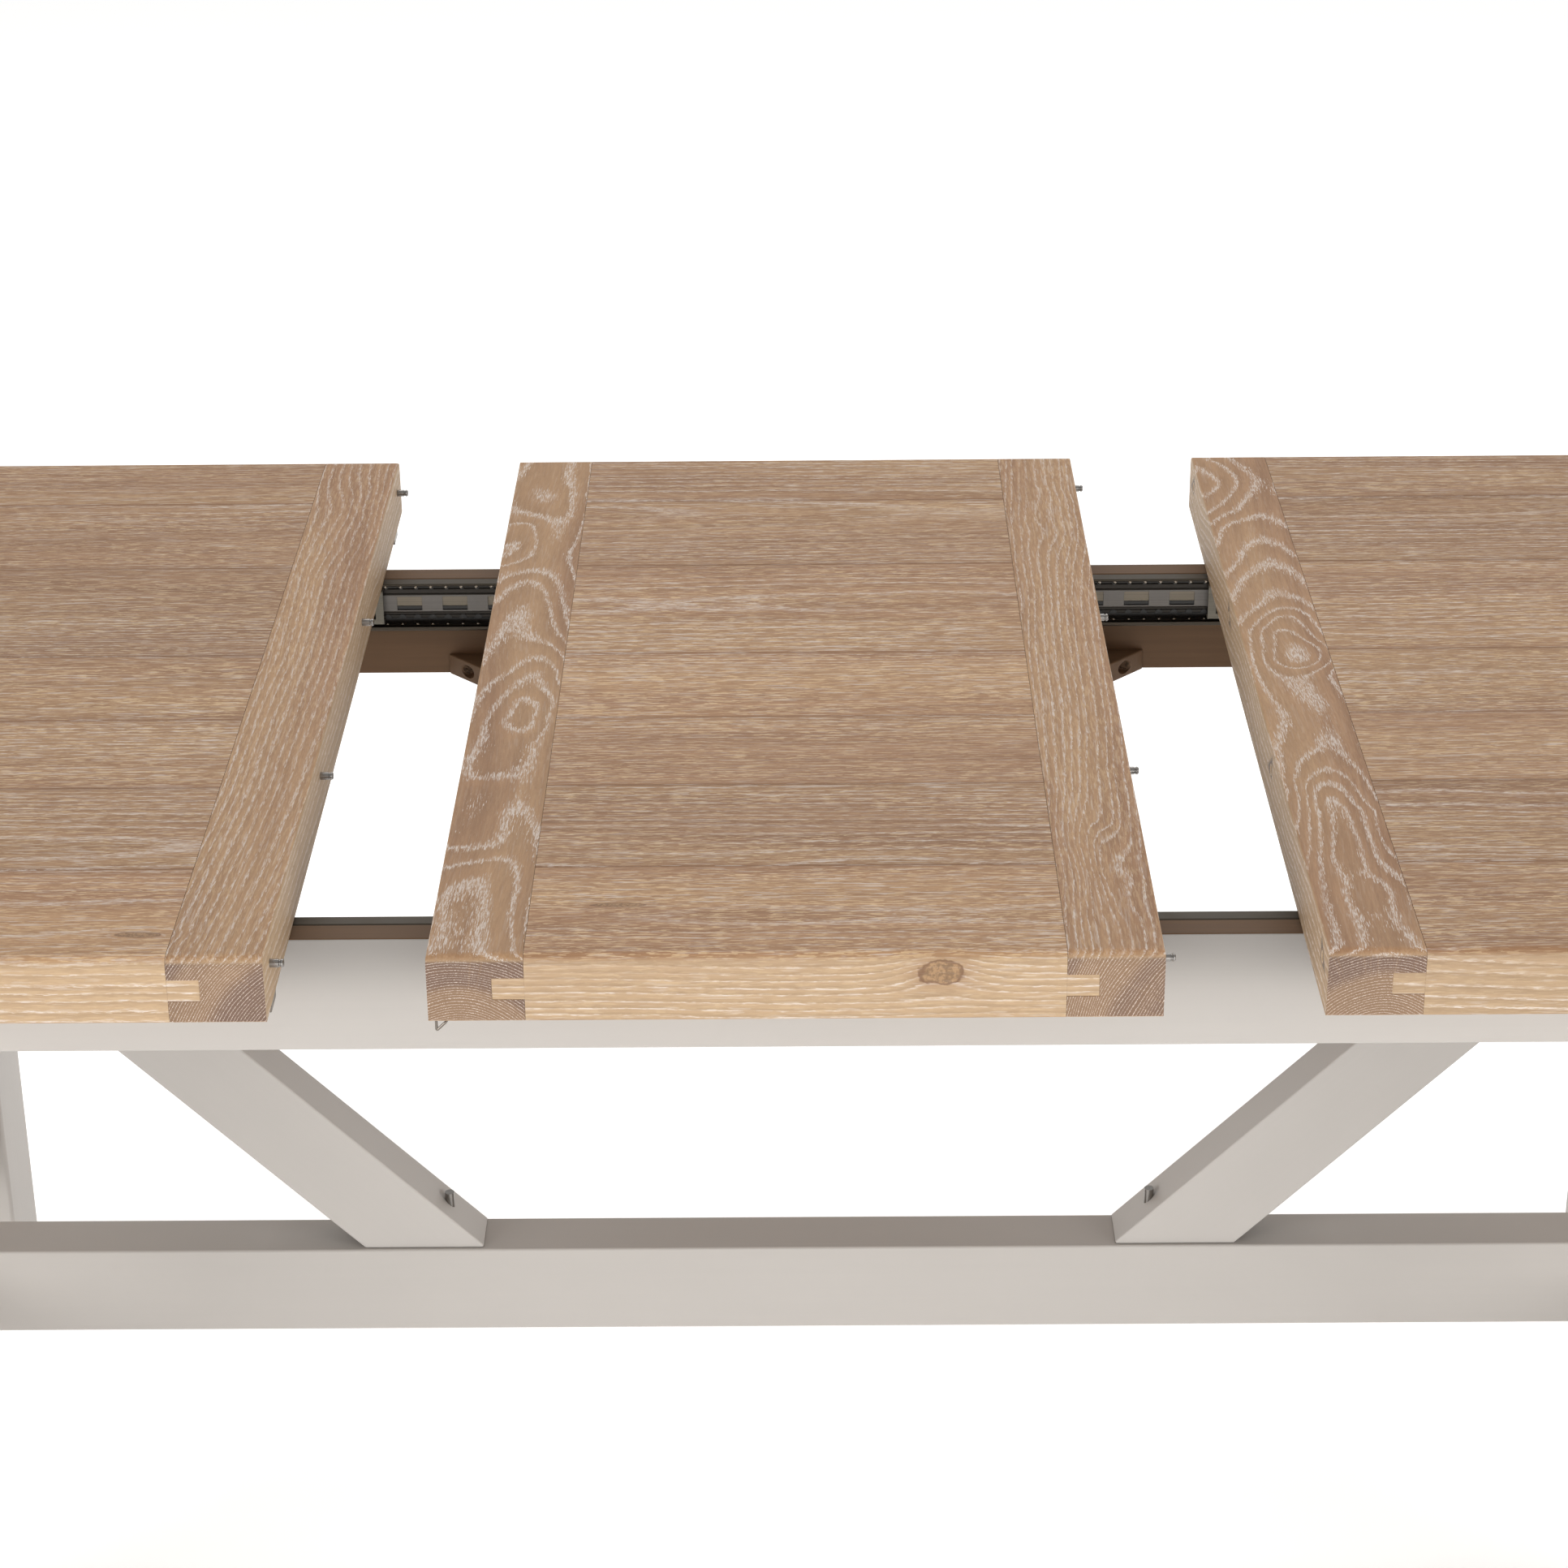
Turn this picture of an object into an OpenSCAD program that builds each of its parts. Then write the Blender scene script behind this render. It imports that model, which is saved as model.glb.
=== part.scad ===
// Extendable dining table: two sliding halves and a drop-in leaf over a fixed painted base.
// X runs along the table, Y from front to back, Z up. The origin is on the floor at the centre.

/* [Top] */
// Depth of the top, front to back
top_depth = 950; // [900:10:1000]
// Thickness of the top
top_thick = 50; // [45:1:55]
// Length of each half of the top
half_len = 900; // [860:10:940]
// Length of the drop-in leaf
leaf_len = 500; // [460:10:520]
// Gap between the leaf and each half with the table open
leaf_gap = 110; // [80:5:120]
// Width of the boards that cap the ends of each panel
breadboard_w = 66; // [55:1:80]
// Radius along the long upper edges
edge_r = 8; // [3:1:12]
// Shares of the depth taken by the boards, front to back
board_shares = [14, 14, 12.7, 12.9, 19.5, 15.7, 11.2]; // [8:0.1:25]

/* [Base] */
// Height of the table
table_h = 780; // [740:5:800]
// Length of the base over its legs
base_len = 1660; // [1620:10:1700]
// Side of each square leg
leg_side = 90; // [80:1:100]
// Distance from the top's edge in to the apron's face
apron_inset = 128; // [110:1:140]
// Height of the aprons
apron_h = 91; // [80:1:100]
// Thickness of the aprons
apron_thick = 22; // [18:1:26]
// Height of the stretchers' upper face
stretcher_top = 255; // [220:5:290]
// Height of the stretchers' section
stretcher_h = 80; // [60:1:90]
// Width of the stretchers' section
stretcher_w = 50; // [40:1:60]
// Distance of each brace's foot from the middle of the stretcher
brace_foot = 317; // [300:1:330]

/* [Hardware] */
// Diameter of the alignment pins
pin_d = 6; // [5:0.5:8]
// How far the alignment pins stand out of the wood
pin_out = 10; // [8:1:14]
// Diameter of the latch wire
wire_d = 2; // [1.5:0.1:2.4]

/* [Hidden] */
$fn = 48;

// Colours
OAK = [0.72, 0.60, 0.48];
PAINT = [0.84, 0.82, 0.78];
BROWN = [0.38, 0.30, 0.24];
STEEL = [0.55, 0.53, 0.50];
BRIGHT = [0.75, 0.75, 0.76];

// Top
half_in = leaf_len / 2 + leaf_gap;
half_out = half_in + half_len;
under_z = table_h - top_thick;
half_d = top_depth / 2;
tongue_t = top_thick / 3;
tongue_l = 22;
seam = 0.2;
low_edge_r = 2;
end_edge_r = 5;
share_sum = sum_to(len(board_shares));

// Base
pad_t = 4;
apron_top = under_z - pad_t;
apron_low = apron_top - apron_h;
apron_out = half_d - apron_inset;
apron_in = apron_out - apron_thick;
leg_proud = 15;
leg_out_x = base_len / 2;
leg_in_x = leg_out_x - leg_side;
leg_out_y = apron_out + leg_proud;
leg_in_y = leg_out_y - leg_side;
leg_r = 4;
glide_h = 5;
glide_r = 15;
stretcher_low = stretcher_top - stretcher_h;
end_apron_x = leg_out_x - leg_proud - apron_thick;
end_stretcher_x = leg_out_x - leg_side / 2 - stretcher_w / 2;
tenon_l = 20;
tenon_t = 12;
tenon_gap = 0.1;
rail_t = 30;
cross_rail_out = 245;
cross_rail_w = 60;
block_leg = 64;
block_t = 19;
block_screw_at = 45;
brace_w = 103;
brace_t = 44;
brace_rail_in = brace_foot - brace_w / 2 + apron_low - stretcher_top;
brace_rail_out = leg_in_x - 2;

// Ball-bearing slides: u runs in from the apron's inner face, v up from the slide's middle
slide_h = 45;
slide_z = apron_top - slide_h / 2;
slide_w = 13;
sheet = 1.5;
lip_h = 4;
inner_h = 32.2;
inner_u = 12;
inner_back = 4;
cage_u = 2;
cage_t = 0.8;
cage_h = 38;
cage_w = 8.5;
cage_len = 300;
cage_in = half_in - 130;
window_pitch = 40;
window_l = 22;
window_h = 12;
ball_r = 2.15;
ball_u = 7.5;
ball_v = (inner_h / 2 + slide_h / 2 - sheet) / 2;
ball_pitch = window_pitch * 2 / 3;
ball_count = 11;
outer_rail_end = leg_in_x - 2;
inner_rail_in = half_in + 2;
inner_rail_out = outer_rail_end - 42;
outer_screws = [-690, -480, -240, 0, 240, 480, 690];
inner_screws = [40, 170, 300];

// Runners under the halves
runner_w = 24;
runner_in = inner_rail_in + 30;
runner_low = slide_z - 20;
runner_y = apron_in - inner_u - sheet - runner_w;
runner_screws = [75, 160, 245];

// Pins and bushes
pin_r = pin_d / 2;
pin_z = table_h - 20;
pin_y = [-445, -148, 148, 445];
pin_depth = 25;
bush_r = pin_r + 1.5;
bush_l = 14;
pin_clear = 0.2;

// Latches: a wire bail on one panel hooks over the lip of a strike on the next
wire_r = wire_d / 2;
latch_w = 30;
latch_inset = 5.4;
latch_z = under_z - 5.5;
latch_lean = 3.5;
latch_knee = 7;
latch_drop = 17.5;
latch_hook = 7;
knuckle_r = 2.6;
knuckle_l = 22;
plate_t = 1.5;
plate_l = 17;
strike_w = 24;
strike_l = 16;
strike_drop = 10;
strike_inset = 1.5;
leaf_latch_y = 431;
right_latch_y = 385;
right_latch_more = 8.5;

// Sum of the first n board shares
function sum_to(n) = n == 0 ? 0 : board_shares[n - 1] + sum_to(n - 1);
// Depth position of the seam in front of board n
function seam_y(n) = -half_d + top_depth * sum_to(n) / share_sum;

// ---------- shared shapes ----------

// A box between two corners
module span(low, high) {
    translate(low) cube(high - low);
}

// Its children, and their mirror image at the other side of the front-back plane
module both_sides() {
    children();
    mirror([1, 0, 0]) children();
}

// Its children, and their mirror image at the other side of the left-right plane
module front_and_rear() {
    children();
    mirror([0, 1, 0]) children();
}

// Its children at all four corners
module four_corners() {
    both_sides() front_and_rear() children();
}

// A rod from p to q
module rod(p, q, r) {
    d = q - p;
    translate(p) rotate([0, acos(d.z / norm(d)), atan2(d.y, d.x)]) cylinder(h = norm(d), r = r);
}

// What a convex edge of radius r loses, at a corner pointing to +x +y
module edge_loss(r) {
    difference() {
        translate([-r, -r]) square(r + 1);
        translate([-r, -r]) circle(r);
    }
}

// Section of the top across the table, with its rounded long edges
module top_section() {
    difference() {
        translate([-half_d, under_z]) square([top_depth, top_thick]);
        for (s = [0, 1]) mirror([s, 0]) {
            translate([half_d, table_h]) edge_loss(edge_r);
            translate([half_d, under_z]) mirror([0, 1]) edge_loss(low_edge_r);
        }
    }
}

// Its 2D children, a section across the table, run along X from x0 to x1
module run_x(x0, x1) {
    translate([x0, 0, 0]) rotate([90, 0, 90]) linear_extrude(x1 - x0) children();
}

// The field boards of one panel between two breadboards, with their end tongues
module boards(x0, x1) {
    tongue_low = under_z + (top_thick - tongue_t) / 2;
    for (n = [0 : len(board_shares) - 1]) {
        y0 = seam_y(n) + (n == 0 ? 0 : seam / 2);
        y1 = seam_y(n + 1) - (n == len(board_shares) - 1 ? 0 : seam / 2);
        union() {
            run_x(x0, x1) intersection() {
                top_section();
                translate([y0, under_z]) square([y1 - y0, top_thick]);
            }
            span([x0 - tongue_l, y0, tongue_low], [x1 + tongue_l, y1, tongue_low + tongue_t]);
        }
    }
}

// A breadboard from x0 to x1, grooved along the face at groove_x
module breadboard(x0, x1, groove_x) {
    groove_low = under_z + (top_thick - tongue_t) / 2;
    difference() {
        run_x(x0, x1) top_section();
        span([groove_x - tongue_l, -half_d - 1, groove_low],
            [groove_x + tongue_l, half_d + 1, groove_low + tongue_t]);
    }
}

// Holes of radius r for pins or bushes, from the face at x inwards by depth
module pin_holes(x, way, depth, r) {
    for (y = pin_y) rod([x - way, y, pin_z], [x + way * depth, y, pin_z], r);
}

// Four pins standing out of the face at x, towards way
module pins(x, way) {
    for (y = pin_y) translate([x, y, pin_z]) rotate([0, 90 * way, 0]) {
        translate([0, 0, -pin_depth]) cylinder(h = pin_depth + pin_out - 1.5, r = pin_r);
        translate([0, 0, pin_out - 1.5]) cylinder(h = 1.5, r1 = pin_r, r2 = pin_r - 0.9);
    }
}

// Four bushes set into the face at x, going into the wood along way
module bushes(x, way) {
    for (y = pin_y) translate([x, y, pin_z]) rotate([0, 90 * way, 0]) difference() {
        cylinder(h = bush_l, r = bush_r);
        translate([0, 0, -1]) cylinder(h = bush_l + 2, r = pin_r + pin_clear);
    }
}

// A countersunk screw at the origin driven along +Z, its head flush
module screw(length, r, grow = 0) {
    cylinder(h = r + grow, r1 = 2 * r + grow, r2 = r + grow);
    cylinder(h = length + grow, r = r + grow);
}

// A hexagon-head bolt at the origin driven along +Z, its head behind the origin
module hex_bolt(length, r) {
    translate([0, 0, -r * 1.3]) cylinder(h = r * 1.3, r = r * 2, $fn = 6);
    cylinder(h = length, r = r);
}

// The hole for that bolt, with a counterbore of the given depth behind the origin
module bolt_hole(length, r, bore_depth) {
    translate([0, 0, -bore_depth]) cylinder(h = bore_depth, r = r * 2.6);
    translate([0, 0, -0.5]) cylinder(h = length + 0.6, r = r + 0.1);
}

// A square with rounded corners centred on the origin
module soft_square(side, r) {
    square([side, side - 2 * r], center = true);
    square([side - 2 * r, side], center = true);
    for (x = [-1, 1]) for (y = [-1, 1]) translate([x, y] * (side / 2 - r)) circle(r);
}

// ---------- base ----------

// Tenon height left after shoulders above and below
function tenon_low(z0, z1) = z0 + (z1 - z0) * 0.17;
function tenon_high(z0, z1) = z1 - (z1 - z0) * 0.17;

// A rail along X with a tenon at each end
module rail_x(x, y0, y1, z0, z1) {
    y = (y0 + y1) / 2;
    span([-x, y0, z0], [x, y1, z1]);
    span([-x - tenon_l, y - tenon_t / 2, tenon_low(z0, z1)],
        [x + tenon_l, y + tenon_t / 2, tenon_high(z0, z1)]);
}

// A rail along Y with a tenon at each end
module rail_y(x0, x1, y, z0, z1) {
    x = (x0 + x1) / 2;
    span([x0, -y, z0], [x1, y, z1]);
    span([x - tenon_t / 2, -y - tenon_l, tenon_low(z0, z1)],
        [x + tenon_t / 2, y + tenon_l, tenon_high(z0, z1)]);
}

// Mortise box grown by the joint's clearance
module mortise(low, high) {
    g = [tenon_gap, tenon_gap, tenon_gap];
    span(low - g, high + g);
}

// One leg, in the corner of +X +Y
module leg() {
    apron_y = (apron_in + apron_out) / 2;
    apron_x = end_apron_x + apron_thick / 2;
    stretcher_x = end_stretcher_x + stretcher_w / 2;
    low = tenon_low(apron_low, apron_top);
    high = tenon_high(apron_low, apron_top);
    centre = [leg_out_x - leg_side / 2, leg_out_y - leg_side / 2, 0];
    difference() {
        translate([centre.x, centre.y, glide_h])
            linear_extrude(apron_top - glide_h) soft_square(leg_side, leg_r);
        mortise([leg_in_x - 1, apron_y - tenon_t / 2, low],
            [leg_in_x + tenon_l, apron_y + tenon_t / 2, high]);
        mortise([apron_x - tenon_t / 2, leg_in_y - 1, low],
            [apron_x + tenon_t / 2, leg_in_y + tenon_l, high]);
        mortise([stretcher_x - tenon_t / 2, leg_in_y - 1, tenon_low(stretcher_low, stretcher_top)],
            [stretcher_x + tenon_t / 2, leg_in_y + tenon_l, tenon_high(stretcher_low, stretcher_top)]);
        translate([centre.x, centre.y, glide_h - 1]) cylinder(h = 18, r = 2.1);
    }
}

// The places of the slide's screws along the rear apron
module outer_screw_places() {
    for (x = outer_screws) translate([x, apron_in - sheet, slide_z]) rotate([-90, 0, 0]) children();
}

// The places of the screws in one cross-rail block, in the corner of +X +Y
module block_screw_places() {
    z = apron_low + block_t / 2;
    depth = block_leg - block_screw_at;
    translate([cross_rail_out + block_screw_at, apron_in - depth + 6, z]) rotate([-90, 0, 0]) children();
    translate([cross_rail_out + depth - 6, apron_in - block_screw_at, z]) rotate([0, -90, 0]) children();
}

// The places of the bolts up through the stretcher into a brace, at +X
module brace_foot_places() {
    for (dx = [-20, 20]) translate([brace_foot + dx, 0, stretcher_low + 12]) children();
}

// The places of the bolts down through the brace rail into a brace, at +X
module brace_head_places() {
    x = (brace_rail_in + brace_rail_out) / 2;
    for (dy = [-12, 12]) translate([x, dy, apron_low + rail_t - 10]) mirror([0, 0, 1]) children();
}

// The places of the bolts through an end stretcher into the long one, at +X
module end_bolt_places() {
    x = end_stretcher_x + stretcher_w - 10;
    z = stretcher_top - stretcher_h / 2;
    for (dz = [-24, 24]) translate([x, 0, z + dz]) rotate([0, -90, 0]) children();
}

// The rear apron; the front one is its mirror image
module long_apron() {
    difference() {
        rail_x(leg_in_x, apron_in, apron_out, apron_low, apron_top);
        outer_screw_places() screw(15.5, 2, 0.1);
        both_sides() block_screw_places() screw(24, 2.2, 0.1);
    }
}

module front_apron() {
    color(PAINT) mirror([0, 1, 0]) long_apron();
}

module rear_apron() {
    color(PAINT) long_apron();
}

module right_end_apron() {
    color(PAINT) rail_y(end_apron_x, end_apron_x + apron_thick, leg_in_y, apron_low, apron_top);
}

module left_end_apron() {
    mirror([1, 0, 0]) right_end_apron();
}

module rear_right_leg() {
    color(PAINT) leg();
}

module rear_left_leg() {
    mirror([1, 0, 0]) rear_right_leg();
}

module front_right_leg() {
    mirror([0, 1, 0]) rear_right_leg();
}

module front_left_leg() {
    mirror([1, 0, 0]) front_right_leg();
}

module foot_glides() {
    color(BRIGHT) four_corners() translate([leg_out_x - leg_side / 2, leg_out_y - leg_side / 2, 0]) {
        cylinder(h = 1.5, r1 = glide_r - 1.5, r2 = glide_r);
        translate([0, 0, 1.5]) cylinder(h = glide_h - 1.5, r = glide_r);
        cylinder(h = glide_h + 16, r = 2);
    }
}

module right_end_stretcher() {
    low = tenon_low(stretcher_low, stretcher_top);
    high = tenon_high(stretcher_low, stretcher_top);
    color(PAINT) difference() {
        rail_y(end_stretcher_x, end_stretcher_x + stretcher_w, leg_in_y, stretcher_low, stretcher_top);
        mortise([end_stretcher_x - 1, -tenon_t / 2, low], [end_stretcher_x + tenon_l, tenon_t / 2, high]);
        end_bolt_places() bolt_hole(90, 4, 12);
    }
}

module left_end_stretcher() {
    mirror([1, 0, 0]) right_end_stretcher();
}

module long_stretcher() {
    color(PAINT) difference() {
        rail_x(end_stretcher_x, -stretcher_w / 2, stretcher_w / 2, stretcher_low, stretcher_top);
        both_sides() {
            end_bolt_places() bolt_hole(90, 4, 0.5);
            brace_foot_places() bolt_hole(110, 4, 14);
        }
    }
}

// The brace rises outwards at 45 degrees and ends in a plumb cut at the rail's outer edge
module right_brace() {
    foot_in = brace_foot - brace_w / 2;
    foot_out = brace_foot + brace_w / 2;
    plumb_z = stretcher_top + brace_rail_out - foot_out;
    color(PAINT) difference() {
        translate([0, brace_t / 2, 0]) rotate([90, 0, 0]) linear_extrude(brace_t) polygon([
            [foot_in, stretcher_top], [foot_out, stretcher_top],
            [brace_rail_out, plumb_z], [brace_rail_out, apron_low], [brace_rail_in, apron_low]
        ]);
        brace_foot_places() bolt_hole(110, 4, 0.5);
        brace_head_places() bolt_hole(60, 4, 0.5);
    }
}

module left_brace() {
    mirror([1, 0, 0]) right_brace();
}

module right_cross_rail() {
    color(BROWN) difference() {
        span([cross_rail_out - cross_rail_w, -apron_in, apron_low],
            [cross_rail_out, apron_in, apron_low + rail_t]);
        front_and_rear() block_screw_places() screw(24, 2.2, 0.1);
    }
}

module left_cross_rail() {
    mirror([1, 0, 0]) right_cross_rail();
}

module right_brace_rail() {
    color(BROWN) difference() {
        span([brace_rail_in, -apron_in, apron_low], [brace_rail_out, apron_in, apron_low + rail_t]);
        brace_head_places() bolt_hole(60, 4, 11);
    }
}

module left_brace_rail() {
    mirror([1, 0, 0]) right_brace_rail();
}

module cross_rail_blocks() {
    color(BROWN) four_corners() difference() {
        translate([0, 0, apron_low]) linear_extrude(block_t) polygon([
            [cross_rail_out, apron_in],
            [cross_rail_out + block_leg, apron_in],
            [cross_rail_out, apron_in - block_leg]
        ]);
        block_screw_places() {
            screw(24, 2.2, 0.1);
            translate([0, 0, -40]) cylinder(h = 40, r = 6);
        }
    }
}

module block_screws() {
    color(STEEL) four_corners() block_screw_places() screw(24, 2.2);
}

module stretcher_bolts() {
    color(STEEL) both_sides() end_bolt_places() hex_bolt(90, 4);
}

module brace_bolts() {
    color(STEEL) both_sides() {
        brace_foot_places() hex_bolt(110, 4);
        brace_head_places() hex_bolt(60, 4);
    }
}

// ---------- slides ----------

// Its 2D children, drawn in u and v, run along X at the rear apron
module run_slide(x0, x1) {
    run_x(x0, x1) translate([apron_in, slide_z]) mirror([1, 0]) children();
}

module outer_section() {
    translate([0, -slide_h / 2]) square([sheet, slide_h]);
    for (s = [0, 1]) mirror([0, s]) {
        translate([0, slide_h / 2 - sheet]) square([slide_w, sheet]);
        translate([slide_w - sheet, slide_h / 2 - lip_h]) square([sheet, lip_h]);
    }
}

module inner_section() {
    translate([inner_u, -inner_h / 2]) square([sheet, inner_h]);
    for (s = [0, 1]) mirror([0, s])
        translate([inner_back, inner_h / 2 - sheet]) square([inner_u - inner_back + sheet, sheet]);
}

module cage_section() {
    translate([cage_u, -cage_h / 2]) square([cage_t, cage_h]);
    for (s = [0, 1]) mirror([0, s])
        translate([cage_u, cage_h / 2 - cage_t]) square([cage_w, cage_t]);
}

module rear_outer() {
    difference() {
        run_slide(-outer_rail_end, outer_rail_end) outer_section();
        outer_screw_places() screw(15.5, 2, 0.1);
    }
}

module front_outer_rail() {
    color(STEEL) mirror([0, 1, 0]) rear_outer();
}

module rear_outer_rail() {
    color(STEEL) rear_outer();
}

module outer_rail_screws() {
    color(BRIGHT) front_and_rear() outer_screw_places() screw(15.5, 2);
}

// The places of the screws through an inner rail into its runner, at +X +Y
module inner_screw_places() {
    for (x = inner_screws)
        translate([inner_rail_in + x, apron_in - inner_u, slide_z]) rotate([90, 0, 0]) children();
}

// The places of the screws up through a runner into the top, at +X +Y
module runner_screw_places() {
    for (x = runner_screws)
        translate([inner_rail_in + x, runner_y + runner_w / 2, runner_low + 16]) children();
}

module inner_rails() {
    color(STEEL) front_and_rear() difference() {
        run_slide(inner_rail_in, inner_rail_out) inner_section();
        inner_screw_places() screw(16, 1.5, 0.1);
    }
}

module runners() {
    color(BROWN) front_and_rear() difference() {
        span([runner_in, runner_y, runner_low], [inner_rail_out, runner_y + runner_w, under_z]);
        inner_screw_places() screw(16, 1.5, 0.1);
        runner_screw_places() {
            screw(52, 2.4, 0.1);
            translate([0, 0, -20]) cylinder(h = 20, r = 5.5);
        }
    }
}

// Ball places in one half's slides; the balls run in two rows, above and below the inner rail
module ball_places() {
    margin = (cage_len - ball_pitch * (ball_count - 1)) / 2;
    for (n = [0 : ball_count - 1]) for (s = [-1, 1])
        translate([cage_in + margin + n * ball_pitch, apron_in - ball_u, slide_z + s * ball_v]) children();
}

module cages() {
    windows = floor(cage_len / window_pitch);
    margin = (cage_len - window_pitch * (windows - 1)) / 2;
    color(BRIGHT) front_and_rear() difference() {
        run_slide(cage_in, cage_in + cage_len) cage_section();
        for (n = [0 : windows - 1]) {
            x = cage_in + margin + n * window_pitch;
            span([x - window_l / 2, apron_in - cage_u - cage_t - 1, slide_z - window_h / 2],
                [x + window_l / 2, apron_in - 1, slide_z + window_h / 2]);
        }
        ball_places() cylinder(h = 4, r = ball_r + 0.2, center = true);
    }
}

module balls() {
    color(BRIGHT) front_and_rear() ball_places() sphere(ball_r);
}

module right_cages() {
    cages();
}

module left_cages() {
    mirror([1, 0, 0]) cages();
}

module right_balls() {
    balls();
}

module left_balls() {
    mirror([1, 0, 0]) balls();
}

// ---------- halves ----------

// The half's boards, at +X, with the pilot holes of the runner screws
module half_boards() {
    color(OAK) difference() {
        boards(half_in + breadboard_w, half_out - breadboard_w);
        front_and_rear() runner_screw_places() screw(52, 2.4, 0.1);
    }
}

// The outer breadboard has its outer edges rounded as well
module half_outer_breadboard() {
    color(OAK) difference() {
        breadboard(half_out - breadboard_w, half_out, half_out - breadboard_w);
        translate([half_out, half_d + 1, table_h]) rotate([90, 0, 0])
            linear_extrude(top_depth + 2) edge_loss(end_edge_r);
    }
}

module right_boards() {
    half_boards();
}

module left_boards() {
    mirror([1, 0, 0]) half_boards();
}

module right_outer_breadboard() {
    half_outer_breadboard();
}

module left_outer_breadboard() {
    mirror([1, 0, 0]) half_outer_breadboard();
}

module right_inner_breadboard() {
    color(OAK) difference() {
        breadboard(half_in, half_in + breadboard_w, half_in + breadboard_w);
        pin_holes(half_in, 1, bush_l + 4, bush_r + 0.05);
    }
}

module left_inner_breadboard() {
    color(OAK) difference() {
        breadboard(-half_in - breadboard_w, -half_in, -half_in - breadboard_w);
        pin_holes(-half_in, -1, pin_depth, pin_r + 0.05);
    }
}

module left_pins() {
    color(BRIGHT) pins(-half_in, 1);
}

module right_bushes() {
    color("tan") bushes(half_in, 1);
}

module left_runners() {
    mirror([1, 0, 0]) runners();
}

module right_runners() {
    runners();
}

module left_inner_rails() {
    mirror([1, 0, 0]) inner_rails();
}

module right_inner_rails() {
    inner_rails();
}

module half_screws() {
    color(STEEL) front_and_rear() {
        inner_screw_places() screw(16, 1.5);
        runner_screw_places() screw(52, 2.4);
    }
}

module left_screws() {
    mirror([1, 0, 0]) half_screws();
}

module right_screws() {
    half_screws();
}

// ---------- leaf ----------

module leaf_boards() {
    color(OAK) boards(breadboard_w - leaf_len / 2, leaf_len / 2 - breadboard_w);
}

module leaf_left_breadboard() {
    color(OAK) difference() {
        breadboard(-leaf_len / 2, breadboard_w - leaf_len / 2, breadboard_w - leaf_len / 2);
        pin_holes(-leaf_len / 2, 1, bush_l + 4, bush_r + 0.05);
    }
}

module leaf_right_breadboard() {
    color(OAK) difference() {
        breadboard(leaf_len / 2 - breadboard_w, leaf_len / 2, leaf_len / 2 - breadboard_w);
        pin_holes(leaf_len / 2, -1, pin_depth, pin_r + 0.05);
    }
}

module leaf_pins() {
    color(BRIGHT) pins(leaf_len / 2, 1);
}

module leaf_bushes() {
    color("tan") bushes(-leaf_len / 2, 1);
}

module leaf_pads() {
    color(BROWN) four_corners() translate([leaf_len / 2 - 60, (apron_in + apron_out) / 2, apron_top])
        cylinder(h = pad_t, r = 9);
}

// ---------- latches ----------

// The plate and knuckle that hold one bail; the bail's pivot is at x, y
module latch_plate(x, y) {
    difference() {
        union() {
            span([x - knuckle_r, y - knuckle_l / 2 - 3, under_z - plate_t],
                [x - knuckle_r + plate_l, y + knuckle_l / 2 + 3, under_z]);
            span([x - knuckle_r, y - knuckle_l / 2, latch_z], [x + knuckle_r, y + knuckle_l / 2, under_z]);
            rod([x, y - knuckle_l / 2, latch_z], [x, y + knuckle_l / 2, latch_z], knuckle_r);
        }
        rod([x, y - latch_w, latch_z], [x, y + latch_w, latch_z], wire_r + 0.08);
    }
}

// The strike that a bail hooks over; its lip stands near the edge at x, and it goes back along way
module strike(x, y, way) {
    near = x + way * strike_inset;
    far = near + way * strike_l;
    lip = near + way * 1.8;
    y0 = y - strike_w / 2;
    y1 = y + strike_w / 2;
    span([min(near, far), y0, under_z - plate_t], [max(near, far), y1, under_z]);
    span([min(near, lip), y0, under_z - strike_drop], [max(near, lip), y1, under_z]);
}

// One wire bail hanging from its pivot at x, y: a closed loop with its free end bent up as a hook.
// Its arms are longer by more
module bail(x, y, more = 0) {
    top = [0, 0, 0];
    knee = [-latch_lean, 0, -latch_knee - more];
    tip = [-latch_lean, 0, -latch_drop - more];
    hook = tip + [latch_hook, 0, latch_hook];
    side = [0, latch_w / 2, 0];
    color(STEEL) translate([x, y, latch_z]) {
        rod(top - side, top + side, wire_r);
        rod(hook - side, hook + side, wire_r);
        for (s = [-1, 1]) {
            rod(top + s * side, knee + s * side, wire_r);
            rod(knee + s * side, tip + s * side, wire_r);
            rod(tip + s * side, hook + s * side, wire_r);
            for (p = [top, knee, tip, hook]) translate(p + s * side) sphere(wire_r + 0.05);
        }
    }
}

module leaf_latch_plates() {
    color(STEEL) for (s = [-1, 1]) latch_plate(latch_inset - leaf_len / 2, s * leaf_latch_y);
}

module right_latch_plates() {
    color(STEEL) for (s = [-1, 1]) latch_plate(half_in + latch_inset + right_latch_more, s * right_latch_y);
}

module left_strikes() {
    color(STEEL) for (s = [-1, 1]) strike(-half_in, s * leaf_latch_y, -1);
}

module leaf_strikes() {
    color(STEEL) for (s = [-1, 1]) strike(leaf_len / 2, s * right_latch_y, -1);
}

module leaf_front_bail() {
    bail(latch_inset - leaf_len / 2, -leaf_latch_y);
}

module leaf_rear_bail() {
    bail(latch_inset - leaf_len / 2, leaf_latch_y);
}

module right_front_bail() {
    bail(half_in + latch_inset + right_latch_more, -right_latch_y, right_latch_more);
}

module right_rear_bail() {
    bail(half_in + latch_inset + right_latch_more, right_latch_y, right_latch_more);
}

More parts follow.
